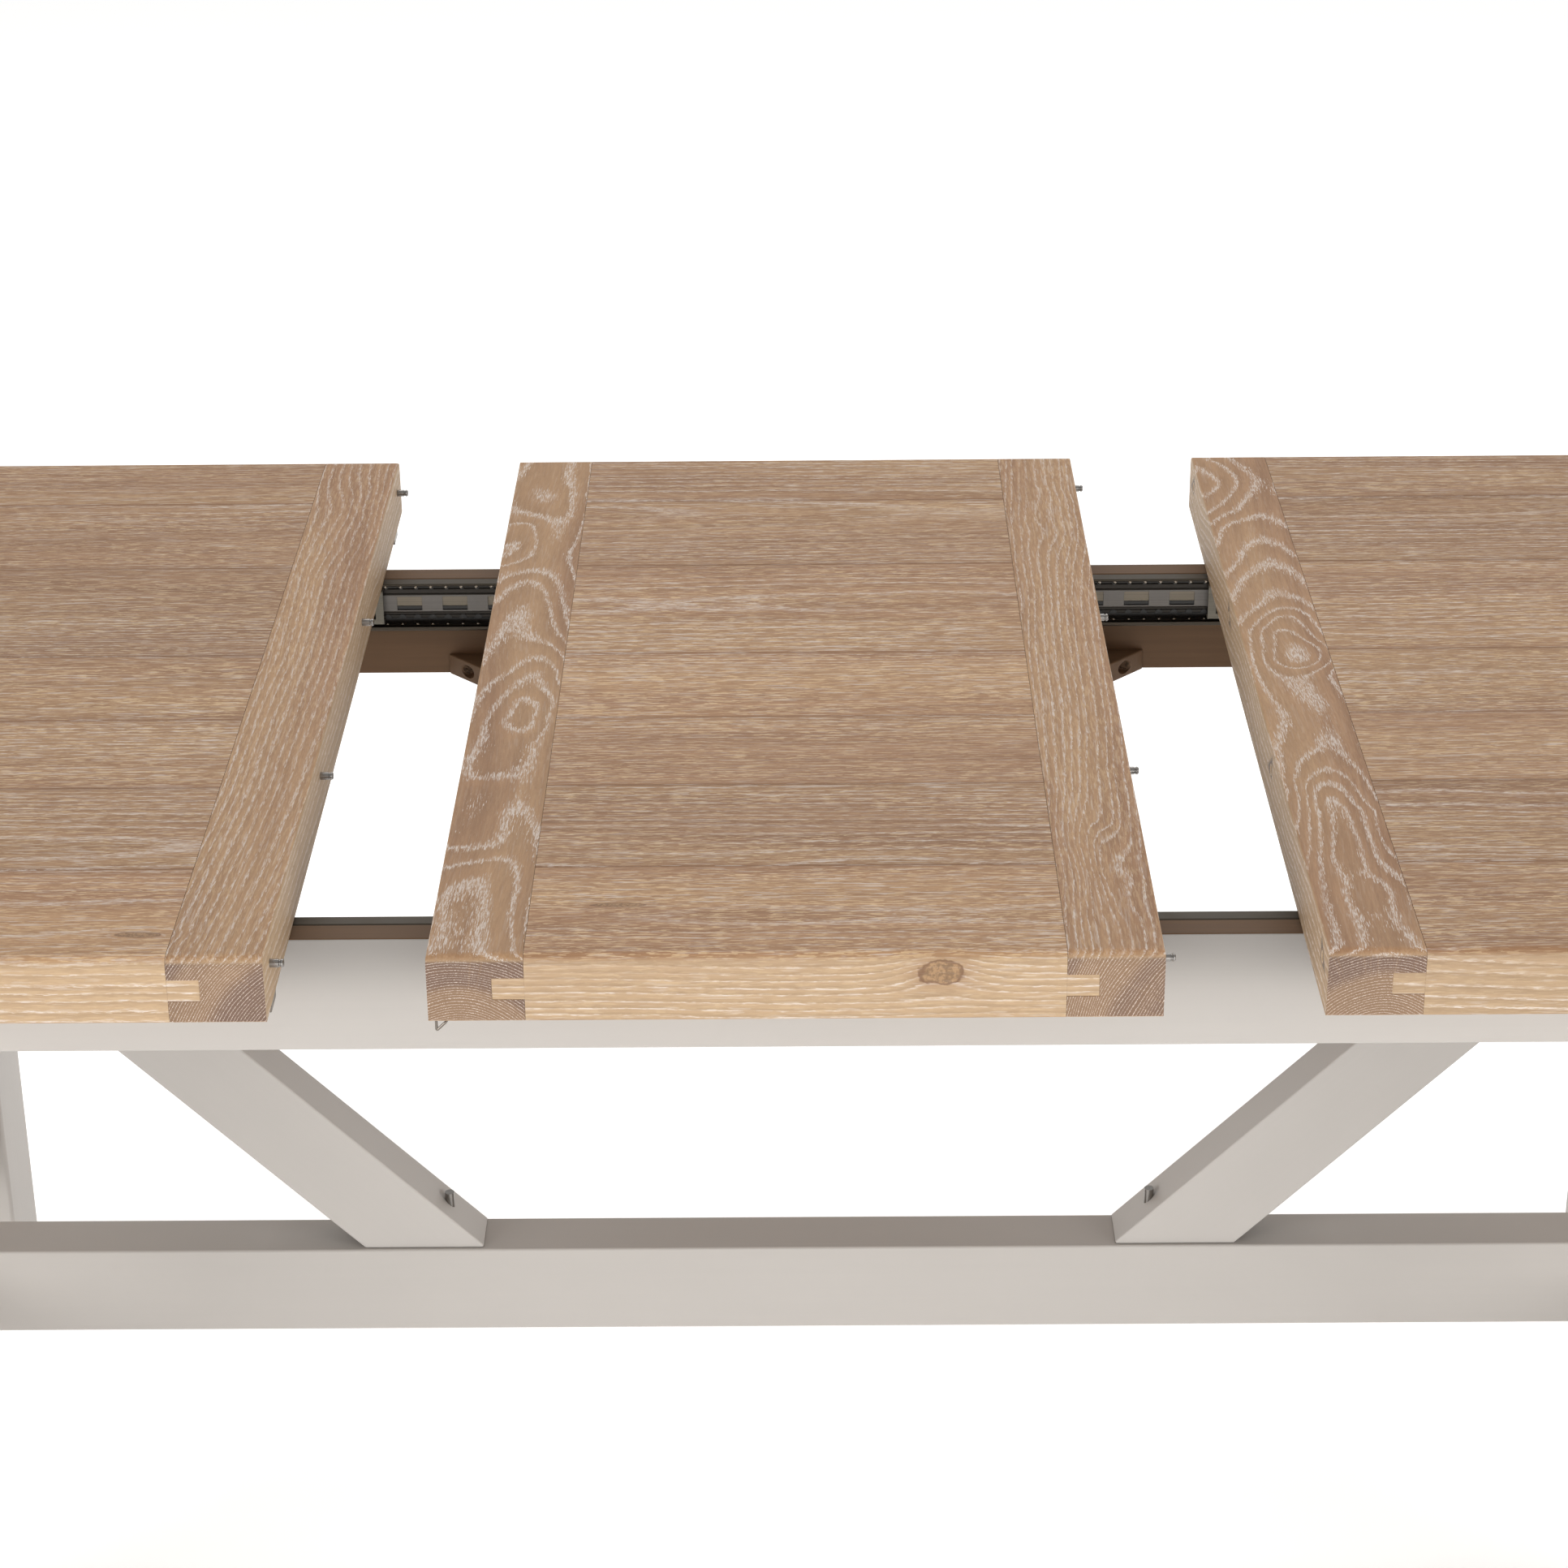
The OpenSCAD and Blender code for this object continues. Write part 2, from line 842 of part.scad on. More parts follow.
front_apron();
rear_apron();
left_end_apron();
right_end_apron();
front_left_leg();
front_right_leg();
rear_left_leg();
rear_right_leg();
foot_glides();
left_end_stretcher();
right_end_stretcher();
long_stretcher();
left_brace();
right_brace();
left_cross_rail();
right_cross_rail();
left_brace_rail();
right_brace_rail();
cross_rail_blocks();
block_screws();
stretcher_bolts();
brace_bolts();
front_outer_rail();
rear_outer_rail();
outer_rail_screws();
left_boards();
left_inner_breadboard();
left_outer_breadboard();
left_pins();
left_runners();
left_inner_rails();
left_screws();
left_strikes();
right_boards();
right_inner_breadboard();
right_outer_breadboard();
right_bushes();
right_runners();
right_inner_rails();
right_screws();
right_latch_plates();
leaf_boards();
leaf_left_breadboard();
leaf_right_breadboard();
leaf_pins();
leaf_bushes();
leaf_pads();
leaf_latch_plates();
leaf_strikes();
leaf_front_bail();
leaf_rear_bail();
right_front_bail();
right_rear_bail();
left_cages();
left_balls();
right_cages();
right_balls();
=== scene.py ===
"""Extendable dining table: the looks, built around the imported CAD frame. Metres, X along the table, Z up."""
import math
import random

import bmesh
import bpy
from mathutils import Matrix, Vector


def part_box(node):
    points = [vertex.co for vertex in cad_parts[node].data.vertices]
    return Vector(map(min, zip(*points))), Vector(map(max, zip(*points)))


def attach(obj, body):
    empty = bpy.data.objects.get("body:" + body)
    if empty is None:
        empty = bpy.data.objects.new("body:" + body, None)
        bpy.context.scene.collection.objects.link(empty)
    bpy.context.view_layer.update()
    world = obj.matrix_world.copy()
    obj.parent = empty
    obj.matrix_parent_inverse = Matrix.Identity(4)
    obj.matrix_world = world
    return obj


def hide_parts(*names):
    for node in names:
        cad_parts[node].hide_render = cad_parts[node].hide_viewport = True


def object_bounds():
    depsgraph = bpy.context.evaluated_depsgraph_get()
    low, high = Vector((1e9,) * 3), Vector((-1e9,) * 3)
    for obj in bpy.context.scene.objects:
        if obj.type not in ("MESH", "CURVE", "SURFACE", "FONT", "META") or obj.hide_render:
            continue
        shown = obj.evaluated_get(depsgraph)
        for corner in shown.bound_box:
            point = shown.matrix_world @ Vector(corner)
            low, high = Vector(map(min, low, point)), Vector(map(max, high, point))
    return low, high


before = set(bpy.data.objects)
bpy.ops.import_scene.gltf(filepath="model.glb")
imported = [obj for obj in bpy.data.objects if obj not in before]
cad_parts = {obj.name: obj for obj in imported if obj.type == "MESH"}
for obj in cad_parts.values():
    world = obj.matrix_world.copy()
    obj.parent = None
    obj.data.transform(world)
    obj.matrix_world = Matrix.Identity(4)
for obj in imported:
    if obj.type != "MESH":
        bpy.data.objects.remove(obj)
cad_low, cad_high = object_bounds()

MM = 0.001
AXES = {"x": (0, 1, 2), "y": (1, 2, 0), "z": (2, 0, 1)}
SIDES = (("left", -1), ("right", 1))
ENDS = (("front", -1), ("rear", 1))
QUARTERS = [(way, end) for way in (-1, 1) for end in (-1, 1)]


def mm(points):
    """Pairs given in millimetres, in metres."""
    return [(a * MM, b * MM) for a, b in points]


# ---------- shader graphs ----------

class Value:
    """A socket of a shader graph that adds, multiplies and compares like a number."""

    def __init__(self, graph, socket):
        self.graph, self.socket = graph, socket

    def op(self, name, *others):
        return self.graph.math(name, self, *others)

    def __add__(self, other):
        return self.op("ADD", other)

    def __sub__(self, other):
        return self.op("SUBTRACT", other)

    def __rsub__(self, other):
        return self.graph.math("SUBTRACT", other, self)

    def __mul__(self, other):
        return self.op("MULTIPLY", other)

    def __truediv__(self, other):
        return self.op("DIVIDE", other)

    __radd__ = __add__
    __rmul__ = __mul__


class Graph:
    """One material and short calls that add nodes to it."""

    def __init__(self, name):
        self.material = bpy.data.materials.new(name)
        self.material.use_nodes = True
        self.tree = self.material.node_tree
        self.tree.nodes.clear()
        self.shader = self.tree.nodes.new("ShaderNodeBsdfPrincipled")
        out = self.tree.nodes.new("ShaderNodeOutputMaterial")
        self.tree.links.new(self.shader.outputs[0], out.inputs["Surface"])

    def put(self, socket, value):
        if isinstance(value, Value):
            self.tree.links.new(value.socket, socket)
        elif isinstance(value, (tuple, list)) and socket.type == "RGBA" and len(value) == 3:
            socket.default_value = (*value, 1)
        else:
            socket.default_value = value

    def node(self, kind, out=0, settings=None, **inputs):
        made = self.tree.nodes.new("ShaderNode" + kind)
        for key, value in (settings or {}).items():
            setattr(made, key, value)
        for key, value in inputs.items():
            self.put(made.inputs[int(key[1:]) if key[1:].isdigit() else key], value)
        return Value(self, made.outputs[out])

    def math(self, name, *values, kind="Math", out=0):
        inputs = {f"i{n}": v for n, v in enumerate(values)}
        return self.node(kind, out=out, settings={"operation": name}, **inputs)

    def vectors(self, name, *values, out=0):
        """Arithmetic on whole vectors."""
        return self.math(name, *values, kind="VectorMath", out=out)

    def vector(self, x, y, z):
        return self.node("CombineXYZ", X=x, Y=y, Z=z)

    def split(self, vector):
        made = self.tree.nodes.new("ShaderNodeSeparateXYZ")
        self.put(made.inputs[0], vector)
        return [Value(self, s) for s in made.outputs]

    def scaled(self, vector, scale):
        return self.vectors("MULTIPLY", vector, scale)

    def attribute(self, name, out="Vector"):
        return self.node("Attribute", out=out, settings={"attribute_name": name})

    def position(self):
        return self.node("TexCoord", out="Object")

    def noise(self, vector, scale, detail=2.0, roughness=0.5):
        """Noise from 0 to 1; scale is cycles a metre, one number or one for each axis."""
        if isinstance(scale, tuple):
            vector, scale = self.scaled(vector, scale), 1.0
        return self.node("TexNoise", Vector=vector, Scale=scale, Detail=detail, Roughness=roughness)

    def step(self, value, low, high):
        """0 below low, 1 above high, smooth between; low above high turns it round."""
        made = self.tree.nodes.new("ShaderNodeMapRange")
        made.interpolation_type = "SMOOTHSTEP"
        self.put(made.inputs[0], value)
        turned = low > high
        made.inputs[1].default_value, made.inputs[2].default_value = sorted((low, high))
        made.inputs[3].default_value, made.inputs[4].default_value = (1, 0) if turned else (0, 1)
        return Value(self, made.outputs[0])

    def spread(self, value, low, high):
        """A 0 to 1 value stretched from low to high."""
        return value * (high - low) + low

    def grade(self, value, low, high, first, last):
        """From first to last as the value goes from low to high."""
        return self.spread(self.step(value, low, high), first, last)

    def mix(self, factor, a, b):
        made = self.tree.nodes.new("ShaderNodeMix")
        made.data_type = "RGBA"
        self.put(made.inputs[0], factor)
        self.put(made.inputs[6], a)
        self.put(made.inputs[7], b)
        return Value(self, made.outputs[2])

    def tint(self, colour, value):
        """The colour with its brightness multiplied by value."""
        return self.node("VectorMath", settings={"operation": "SCALE"}, i0=colour, i3=value)

    def bump(self, height, depth, strength=1.0):
        made = self.tree.nodes.new("ShaderNodeBump")
        made.inputs["Strength"].default_value = strength
        made.inputs["Distance"].default_value = depth
        self.put(made.inputs["Height"], height)
        return Value(self, made.outputs[0])

    def finish(self, **inputs):
        for key, value in inputs.items():
            self.put(self.shader.inputs[key.replace("_", " ")], value)
        return self.material


# ---------- materials ----------

OAK_DEEP = (0.225, 0.112, 0.054)
OAK_TAN = (0.345, 0.196, 0.105)
OAK_GOLD = (0.400, 0.252, 0.130)
OAK_PALE = (0.620, 0.445, 0.265)
# Painted light: the colour of upright faces, lighter and yellower than the top
OAK_SIDE_LIT_WARM = (0.376, 0.283, 0.180)
OAK_END = (0.145, 0.088, 0.062)
OAK_END_WARM = (0.250, 0.155, 0.088)
LIME = (0.620, 0.545, 0.490)
END_LIME = (0.66, 0.56, 0.48)
KNOT = (0.110, 0.054, 0.030)
RING = 4.6 * MM
KNOT_PUSH = 9 * MM


def knots_and_domes(g, place, is_y):
    """How the rings are pushed about by knots and domes, and how far each point is from its nearest knot."""
    ragged = (g.noise(place, 130, detail=2.0) - 0.5) * 0.75
    nearest, push = None, None
    for centre, size, stretch in KNOTS:
        away = g.scaled(g.vectors("SUBTRACT", place, centre), (1 / (size * stretch), 1 / size, 1 / size))
        reach = g.vectors("LENGTH", away, out="Value")
        flow = g.math("EXPONENT", reach * reach * -0.30)
        push = flow if push is None else push + flow
        nearest = reach if nearest is None else g.math("MINIMUM", nearest, reach)

    drift = g.node("TexNoise", out="Color", Vector=place, Scale=10.0, Detail=1.5)
    drift = g.scaled(g.vectors("SUBTRACT", drift, (0.5, 0.5, 0.5)), (0.05, 0.13, 0.0))
    x, y = g.split(g.vectors("ADD", place, drift))[:2]
    for (x0, y0), wide, long, lift in DOMES:
        dx, dy = (x - x0) / wide, (y - y0) / long
        push = push + g.math("EXPONENT", (dx * dx + dy * dy) * -1.0) * is_y * (lift / KNOT_PUSH)
    return push * KNOT_PUSH, nearest + ragged


def oak():
    """Brushed, limed oak worked out in the solid: rings round a pith, pores along the grain filled white."""
    g = Graph("limed_oak")
    co = g.attribute("oak_co")
    along, across, up = g.split(co)
    tone, wander, straight = g.split(g.attribute("oak_look"))
    curly = 1 - straight
    is_y = g.attribute("oak_axis", out="Fac")
    push, knots = knots_and_domes(g, g.position(), is_y)
    normal_x, normal_y, normal_z = g.split(g.node("NewGeometry", out="Normal"))
    upright = g.step(g.math("ABSOLUTE", normal_z), 0.90, 0.30)

    # Rings: how far from the pith, wandering slowly, with a ragged edge where each pore is cut
    broad = g.noise(co, (3.4, 6.0, 6.0), detail=2.2, roughness=0.45) - 0.5
    ragged = g.noise(co, (80, 1000, 1000), detail=2.0, roughness=0.6) - 0.5
    radius = g.math("SQRT", across * across + up * up)
    radius = radius + broad * wander * 2.6 + push + along * curly * 0.045
    uneven = g.noise(g.vector(radius, tone, 0.3), 85, detail=1.5) - 0.5
    rings = (radius + uneven * (9 * MM) + ragged * g.spread(curly, 2.0 * MM, 5.5 * MM)) / RING
    rings = rings / g.spread(curly, 1.0, 1.25)
    phase = g.math("FRACT", rings)
    start = g.step(phase, 0.0, 0.04)
    line = g.step(phase, 0.30, 0.10) * straight + g.step(phase, 0.34, 0.12) * curly
    late = g.step(phase, 0.45, 0.95)

    fibre = g.noise(co, (60, 800, 800), detail=2.0, roughness=0.65)
    stroke = g.noise(co, (74, 580, 580), detail=2.0, roughness=0.62)
    second = g.noise(co, (52, 480, 480), detail=2.0, roughness=0.62)
    chalk = g.noise(co, (34, 560, 560), detail=1.5, roughness=0.6)
    streak = g.noise(co, (5, 120, 120), detail=3.0, roughness=0.6)
    cloud = g.noise(co, (1.4, 13, 13), detail=2.0)
    zone = g.noise(co, (1.1, 9, 9), detail=1.0)
    pores = g.noise(co, (150, 950, 950), detail=2.0, roughness=0.65)
    patch = g.noise(co, (4, 34, 34), detail=1.0)

    # White filler sits in the open pores of each ring, in some stretches of a board more than in others
    limed = line * start * g.grade(pores, 0.40, 0.58, 0.18, 1.0) * g.step(patch, 0.15, 0.40)
    shows = g.grade(zone, 0.44, 0.58, 0.10, 0.90) + upright * 0.12
    shows = shows * g.grade(stroke, 0.40, 0.55, 0.35, 1.0)
    limed = limed * (curly + straight * shows)
    light_dash = g.step(stroke, 0.53, 0.565) * g.grade(patch, 0.30, 0.62, 0.55, 1.0)
    light_dash = light_dash * g.spread(upright, 1.0, 0.6)
    dark_dash = g.step(second, 0.455, 0.41)
    chalky = g.step(chalk, 0.60, 0.63) * g.grade(cloud, 0.35, 0.60, 0.40, 1.0)
    chalky = chalky * g.spread(upright, 1.0, 0.45)

    body = g.mix(g.step(streak, 0.36, 0.64) * 0.55, OAK_TAN, OAK_DEEP)
    body = g.mix(g.step(cloud, 0.38, 0.62) * 0.45, body, OAK_GOLD)
    body = g.mix(light_dash * g.spread(straight, 0.08, 0.64), body, OAK_PALE)
    body = g.mix(dark_dash * g.spread(straight, 0.18, 0.44), body, OAK_DEEP)
    shade = g.spread(fibre, 0.86, 1.14) * g.spread(cloud, 0.90, 1.10) * g.spread(late, 1.02, 0.93)
    seam = g.attribute("oak_seam", out="Fac")
    seam = seam * seam * g.grade(patch, 0.35, 0.60, 0.6, 1.0) + g.step(seam, 0.90, 1.0)
    body = g.mix(seam * 0.55 * (1 - upright), body, OAK_DEEP)
    body = g.tint(body, shade * tone)

    # Faces that stand upright are painted yellower and cleaner than the top: painted light on the sides, not a
    # change in the wood
    warm_lit_sides = g.tint(OAK_SIDE_LIT_WARM, g.spread(fibre, 0.84, 1.14) * g.spread(streak, 0.84, 1.16) * tone)
    warm_lit_sides = g.tint(warm_lit_sides, g.spread(late, 1.04, 0.86))
    body = g.mix(upright * 0.60, body, warm_lit_sides)

    # End grain drinks the stain: dark, with pale ring lines and faint rays
    facing = g.math("ABSOLUTE", normal_x) * (1 - is_y) + g.math("ABSOLUTE", normal_y) * is_y
    end = g.step(facing, 0.80, 0.97)
    turn = g.math("ARCTAN2", across, up)
    rays = g.noise(g.vector(turn * 46, radius * 9, 0.0), 1.0, detail=2.0)
    end_phase = g.math("FRACT", (radius + ragged * (1.3 * MM)) / (RING * 0.42) + uneven * 2.4)
    end_rings = g.step(end_phase, 0.30, 0.06) * g.step(end_phase, 0.0, 0.04)
    layer = g.step(g.noise(g.vector(radius, tone, 2.0), 28, detail=1.0), 0.42, 0.60)
    cut = g.mix(layer * 0.7, OAK_END, OAK_END_WARM)
    cut = g.mix(g.step(rays, 0.56, 0.70) * 0.35, cut, OAK_END_WARM)
    cut = g.mix(end_rings * g.grade(pores, 0.40, 0.60, 0.25, 0.90), cut, END_LIME)
    cut = g.tint(cut, g.spread(cloud, 0.86, 1.16))

    face = g.mix(limed * g.spread(curly, 0.80, 0.86), body, LIME)
    face = g.mix(chalky * g.spread(straight, 0.10, 0.52), face, LIME)
    heart = g.tint(OAK_GOLD, g.spread(g.step(g.noise(g.position(), 420, detail=2.0), 0.35, 0.65), 0.35, 0.95))
    rim = g.mix(g.step(knots, 0.80, 0.98), heart, KNOT)
    face = g.mix(g.step(knots, 1.12, 0.98) * g.spread(upright, 0.72, 0.80), face, rim)
    face = g.mix(g.step(knots, 2.2, 0.9) * 0.30, face, OAK_DEEP)
    colour = g.mix(end, face, cut)
    rough = g.spread(fibre, 0.50, 0.64) + limed * 0.14
    height = fibre * 0.35 - g.step(pores, 0.55, 0.75) * 0.4 + limed * 0.25 - end_rings * end * 0.5
    return g.finish(
        Base_Color=colour, Roughness=rough, Normal=g.bump(height, 0.20 * MM, 0.5), Specular_IOR_Level=0.30
    )


PAINT = (0.435, 0.408, 0.380)
BROWN = (0.140, 0.082, 0.045)
# Painted shade: the paint darkens between these two heights, close under the top
PAINTED_SHADE_UNDER_TOP = (726 * MM, 672 * MM)


def paint():
    """Satin paint over wood: faint brush strokes along the member, soft mottling, and painted shade in corners
    and close under the top.
    """
    g = Graph("painted_wood")
    co = g.attribute("member_co")
    strokes = g.noise(co, (5, 260, 260), detail=2.0, roughness=0.6)
    mottle = g.noise(co, (7, 16, 16), detail=2.0)
    peel = g.noise(co, 340, detail=1.0)
    # Painted shade: ambient occlusion darkens the paint in corners and where parts meet
    occlusion = g.node("AmbientOcclusion", out="AO", Distance=0.06)
    shade = g.spread(mottle, 0.965, 1.03) * g.spread(strokes, 0.985, 1.012) * g.spread(occlusion, 0.74, 1.0)
    level = g.split(g.position())[2]
    # Painted shade under the overhang of the top
    shade = shade * g.spread(g.step(level, *PAINTED_SHADE_UNDER_TOP), 0.72, 1.0)
    colour = g.tint(PAINT, shade)
    height = strokes * 0.6 + peel * 0.25
    return g.finish(
        Base_Color=colour, Roughness=g.spread(strokes, 0.40, 0.52), Normal=g.bump(height, 0.12 * MM, 0.5),
        Specular_IOR_Level=0.42
    )


def stain():
    """Dark brown stained wood, half matt, with its grain showing."""
    g = Graph("brown_wood")
    co = g.attribute("member_co")
    grain = g.noise(co, (6, 190, 190), detail=2.5, roughness=0.65)
    cloud = g.noise(co, (3, 11, 11), detail=1.0)
    colour = g.tint(BROWN, g.spread(grain, 0.78, 1.22) * g.spread(cloud, 0.85, 1.15))
    return g.finish(
        Base_Color=colour, Roughness=g.spread(grain, 0.46, 0.60), Normal=g.bump(grain, 0.15 * MM, 0.5),
        Specular_IOR_Level=0.18
    )


def metal(name, colour, rough, brushed=(4, 900, 900), variation=0.25, metallic=1.0):
    """Drawn or plated steel, with fine marks along the way it was drawn."""
    g = Graph(name)
    place = g.position()
    marks = g.noise(place, brushed, detail=2.0, roughness=0.6)
    film = g.noise(place, 55, detail=2.0)
    tinted = g.tint(colour, g.spread(marks, 1 - variation, 1 + variation) * g.spread(film, 0.85, 1.15))
    return g.finish(
        Base_Color=tinted, Metallic=metallic, Roughness=g.spread(film, rough - 0.08, rough + 0.12),
        Normal=g.bump(marks, 0.04 * MM, 0.4)
    )


def speckled(name, colour, scale, rough, depth):
    """A dense matt stuff such as felt or moulded nylon."""
    g = Graph(name)
    place = g.position()
    grit = g.noise(place, scale, detail=3.0, roughness=0.7)
    return g.finish(
        Base_Color=g.tint(colour, g.spread(grit, 0.7, 1.3)), Roughness=rough, Normal=g.bump(grit, depth, 0.7)
    )


# Knots seen in the wood: where, half height, and how far drawn out along X
KNOTS = [
    ((0.099, -0.476, 0.7655), 9 * MM, 1.75),
    ((-0.1225, -0.4005, 0.781), 3.2 * MM, 6.0),
    ((-0.760, -0.250, 0.781), 7 * MM, 3.0),
    ((0.905, 0.160, 0.781), 7 * MM, 3.0),
    ((-0.450, -0.440, 0.781), 4 * MM, 4.0),
]

# Domes in the breadboards' rings: centre, reach across, reach along, and lift
DOMES = [
    ((-0.250, 0.262), 34 * MM, 70 * MM, 17 * MM),
    ((-0.203, -0.036), 30 * MM, 75 * MM, -13 * MM),
    ((-0.232, -0.275), 24 * MM, 70 * MM, 13 * MM),
    ((0.212, -0.345), 20 * MM, 110 * MM, -15 * MM),
    ((0.232, 0.300), 18 * MM, 90 * MM, 7 * MM),
    ((0.402, 0.033), 28 * MM, 52 * MM, -14 * MM),
    ((0.376, 0.394), 30 * MM, 60 * MM, 11 * MM),
    ((0.388, -0.275), 26 * MM, 115 * MM, -15 * MM),
    ((-0.385, 0.330), 30 * MM, 90 * MM, 10 * MM),
]

OAK = oak()
PAINTED = paint()
STAINED = stain()
RAIL = metal("rail_steel", (0.058, 0.046, 0.032), 0.46, metallic=0.55)
RAIL_BRIGHT = metal("rail_steel_inner", (0.185, 0.172, 0.140), 0.52, metallic=0.35)
# A lighter copy of the rail steel for the web: painted light
RAIL_WEB_LIT = metal("rail_steel_web_lit", (0.270, 0.235, 0.180), 0.55, metallic=0.25)
# A lighter copy of the cage steel for its flat web: painted light; the ridges keep the darker copy as painted
# shade
CAGE_WEB_LIT = metal("cage_web_lit", (0.170, 0.158, 0.145), 0.42, metallic=0.45)
CAGE = metal("cage_steel", (0.026, 0.021, 0.016), 0.34, metallic=0.55)
# Painted shadow: a black for strips and bands that stand for shade inside the slides
SHADOW_BLACK = speckled("painted_shadow_black", (0.012, 0.010, 0.008), 1100, 0.38, 0.06 * MM)
STOP = speckled("pale_stop", (0.20, 0.19, 0.155), 700, 0.5, 0.05 * MM)
BALL = metal("bearing_steel", (0.34, 0.30, 0.25), 0.22, brushed=(30, 30, 30), variation=0.08)
ZINC = metal("zinc_steel", (0.27, 0.255, 0.24), 0.24, brushed=(60, 60, 60), variation=0.12)
WIRE = metal("latch_steel", (0.20, 0.175, 0.15), 0.28, brushed=(300, 300, 300), variation=0.15)
NYLON = speckled("nylon", (0.46, 0.33, 0.21), 900, 0.45, 0.05 * MM)
FELT = speckled("felt", (0.055, 0.038, 0.026), 1500, 0.95, 0.4 * MM)


# ---------- sections and solids ----------

def unit(v):
    return v / v.length if v.length else v


def section(points, radii):
    """A closed outline, anticlockwise, with its corners rounded: a list of (point, outward vector)."""
    points = [Vector(p) for p in points]
    if not isinstance(radii, (list, tuple)):
        radii = [radii] * len(points)
    out = []
    for n, (p, r) in enumerate(zip(points, radii)):
        before = unit(p - points[n - 1])
        after = unit(points[(n + 1) % len(points)] - p)
        n0, n1 = Vector((before.y, -before.x)), Vector((after.y, -after.x))
        mitre = (n0 + n1) / max(1 + n0.dot(n1), 0.05)
        if r <= 0:
            out.append((p, mitre))
            continue
        centre = p - mitre * r
        turn = n0.angle(n1)
        steps = max(2, math.ceil(turn / math.radians(14))) if r > 0.6 * MM else 2
        for k in range(steps + 1):
            a = turn * k / steps
            normal = Matrix.Rotation(a, 2) @ n0
            out.append((centre + normal * r, normal))
    return out


def divided(outline, pitch):
    """The outline with its long straight runs cut into steps of about pitch."""
    out = []
    for n, (p, v) in enumerate(outline):
        q, w = outline[(n + 1) % len(outline)]
        out.append((p, v))
        parts = int((q - p).length // pitch)
        for k in range(1, parts):
            out.append((p.lerp(q, k / parts), v.lerp(w, k / parts)))
    return out


def rounded_ends(start, stop, r_start, r_stop):
    """Stations (place, inset) along a run whose two end edges are rounded."""
    def arc(r):
        steps = 2 if r < 1.2 * MM else 6
        return [(r * (1 - math.sin(a)), r * (1 - math.cos(a)))
                for a in (math.pi / 2 * (1 - k / steps) for k in range(steps + 1))] if r else [(0, 0)]
    head = [(start + d, i) for d, i in arc(r_start)]
    tail = [(stop - d, i) for d, i in reversed(arc(r_stop))]
    return head + tail


class Shape:
    """Vertices and faces gathered from runs, boxes and tubes, with the values its material reads."""

    def __init__(self):
        self.points, self.faces, self.slots, self.values = [], [], [], {}

    def note(self, start, **values):
        """Gives the vertices from start on a value for each name; a value may be a function of the point."""
        for name, value in values.items():
            kept = self.values.setdefault(name, {})
            for n in range(start, len(self.points)):
                kept[n] = value(self.points[n]) if callable(value) else value

    def skin(self, start, rings, count):
        """Faces between rings of count vertices each, and one at either end."""
        for s in range(rings - 1):
            for n in range(count):
                m = (n + 1) % count
                a, b = start + s * count, start + (s + 1) * count
                self.faces.append((a + n, a + m, b + m, b + n))
        last = start + (rings - 1) * count
        self.faces.append(tuple(start + n for n in reversed(range(count))))
        self.faces.append(tuple(last + n for n in range(count)))
        return start

    def run(self, outline, stations, axis="x"):
        """The outline, in the two axes after this one, swept along it."""
        i, j, k = AXES[axis]
        start = len(self.points)
        for place, inset in stations:
            for p, v in outline:
                q = p - v * inset
                point = Vector((0, 0, 0))
                point[i], point[j], point[k] = place, q.x, q.y
                self.points.append(point)
        return self.skin(start, len(stations), len(outline))

    def box(self, low, high, axis="x", r=1.5 * MM, r_end=None):
        i, j, k = AXES[axis]
        corners = [(low[j], low[k]), (high[j], low[k]), (high[j], high[k]), (low[j], high[k])]
        ends = r if r_end is None else r_end
        return self.run(section(corners, r), rounded_ends(low[i], high[i], ends, ends), axis)

    def turned(self, profile, origin, way, sides=24):
        """A profile of (radius, height) points turned about way at origin."""
        start, count = len(self.points), len(profile)
        turn = Vector((0, 0, 1)).rotation_difference(Vector(way)).to_matrix()
        origin = Vector(origin)
        for s in range(sides):
            a = 2 * math.pi * s / sides
            for r, h in profile:
                self.points.append(origin + turn @ Vector((r * math.cos(a), r * math.sin(a), h)))
        for s in range(sides):
            t = (s + 1) % sides
            for n in range(count - 1):
                self.faces.append((start + s * count + n, start + t * count + n,
                                   start + t * count + n + 1, start + s * count + n + 1))
        return start

    def tube(self, path, r, sides=14, closed=True):
        """A round wire along a path of points."""
        start, count = len(self.points), len(path)
        side = None
        for n, p in enumerate(path):
            ahead = path[(n + 1) % count] if closed or n + 1 < count else p
            behind = path[n - 1] if closed or n else p
            way = unit(ahead - behind)
            side = unit(way.orthogonal() if side is None else side - way * side.dot(way))
            lift = way.cross(side)
            for s in range(sides):
                a = 2 * math.pi * s / sides
                self.points.append(p + (side * math.cos(a) + lift * math.sin(a)) * r)
        for n in range(count if closed else count - 1):
            m = (n + 1) % count
            for s in range(sides):
                t = (s + 1) % sides
                self.faces.append((start + n * sides + s, start + n * sides + t,
                                   start + m * sides + t, start + m * sides + s))
        return start

    def ball(self, centre, r, rings=8, sides=14):
        angles = [math.pi * n / rings for n in range(rings + 1)]
        profile = [(r * math.sin(a), -r * math.cos(a)) for a in angles]
        return self.turned(profile, centre, (0, 0, 1), sides)


SHARP = math.radians(32)


def add(name, data):
    """A new object in the scene."""
    made = bpy.data.objects.new(name, data)
    bpy.context.scene.collection.objects.link(made)
    return made


def weld(mesh):
    """Joins vertices that coincide and turns every face outwards."""
    work = bmesh.new()
    work.from_mesh(mesh)
    bmesh.ops.remove_doubles(work, verts=work.verts, dist=1e-6)
    bmesh.ops.recalc_face_normals(work, faces=work.faces)
    work.to_mesh(mesh)
    work.free()


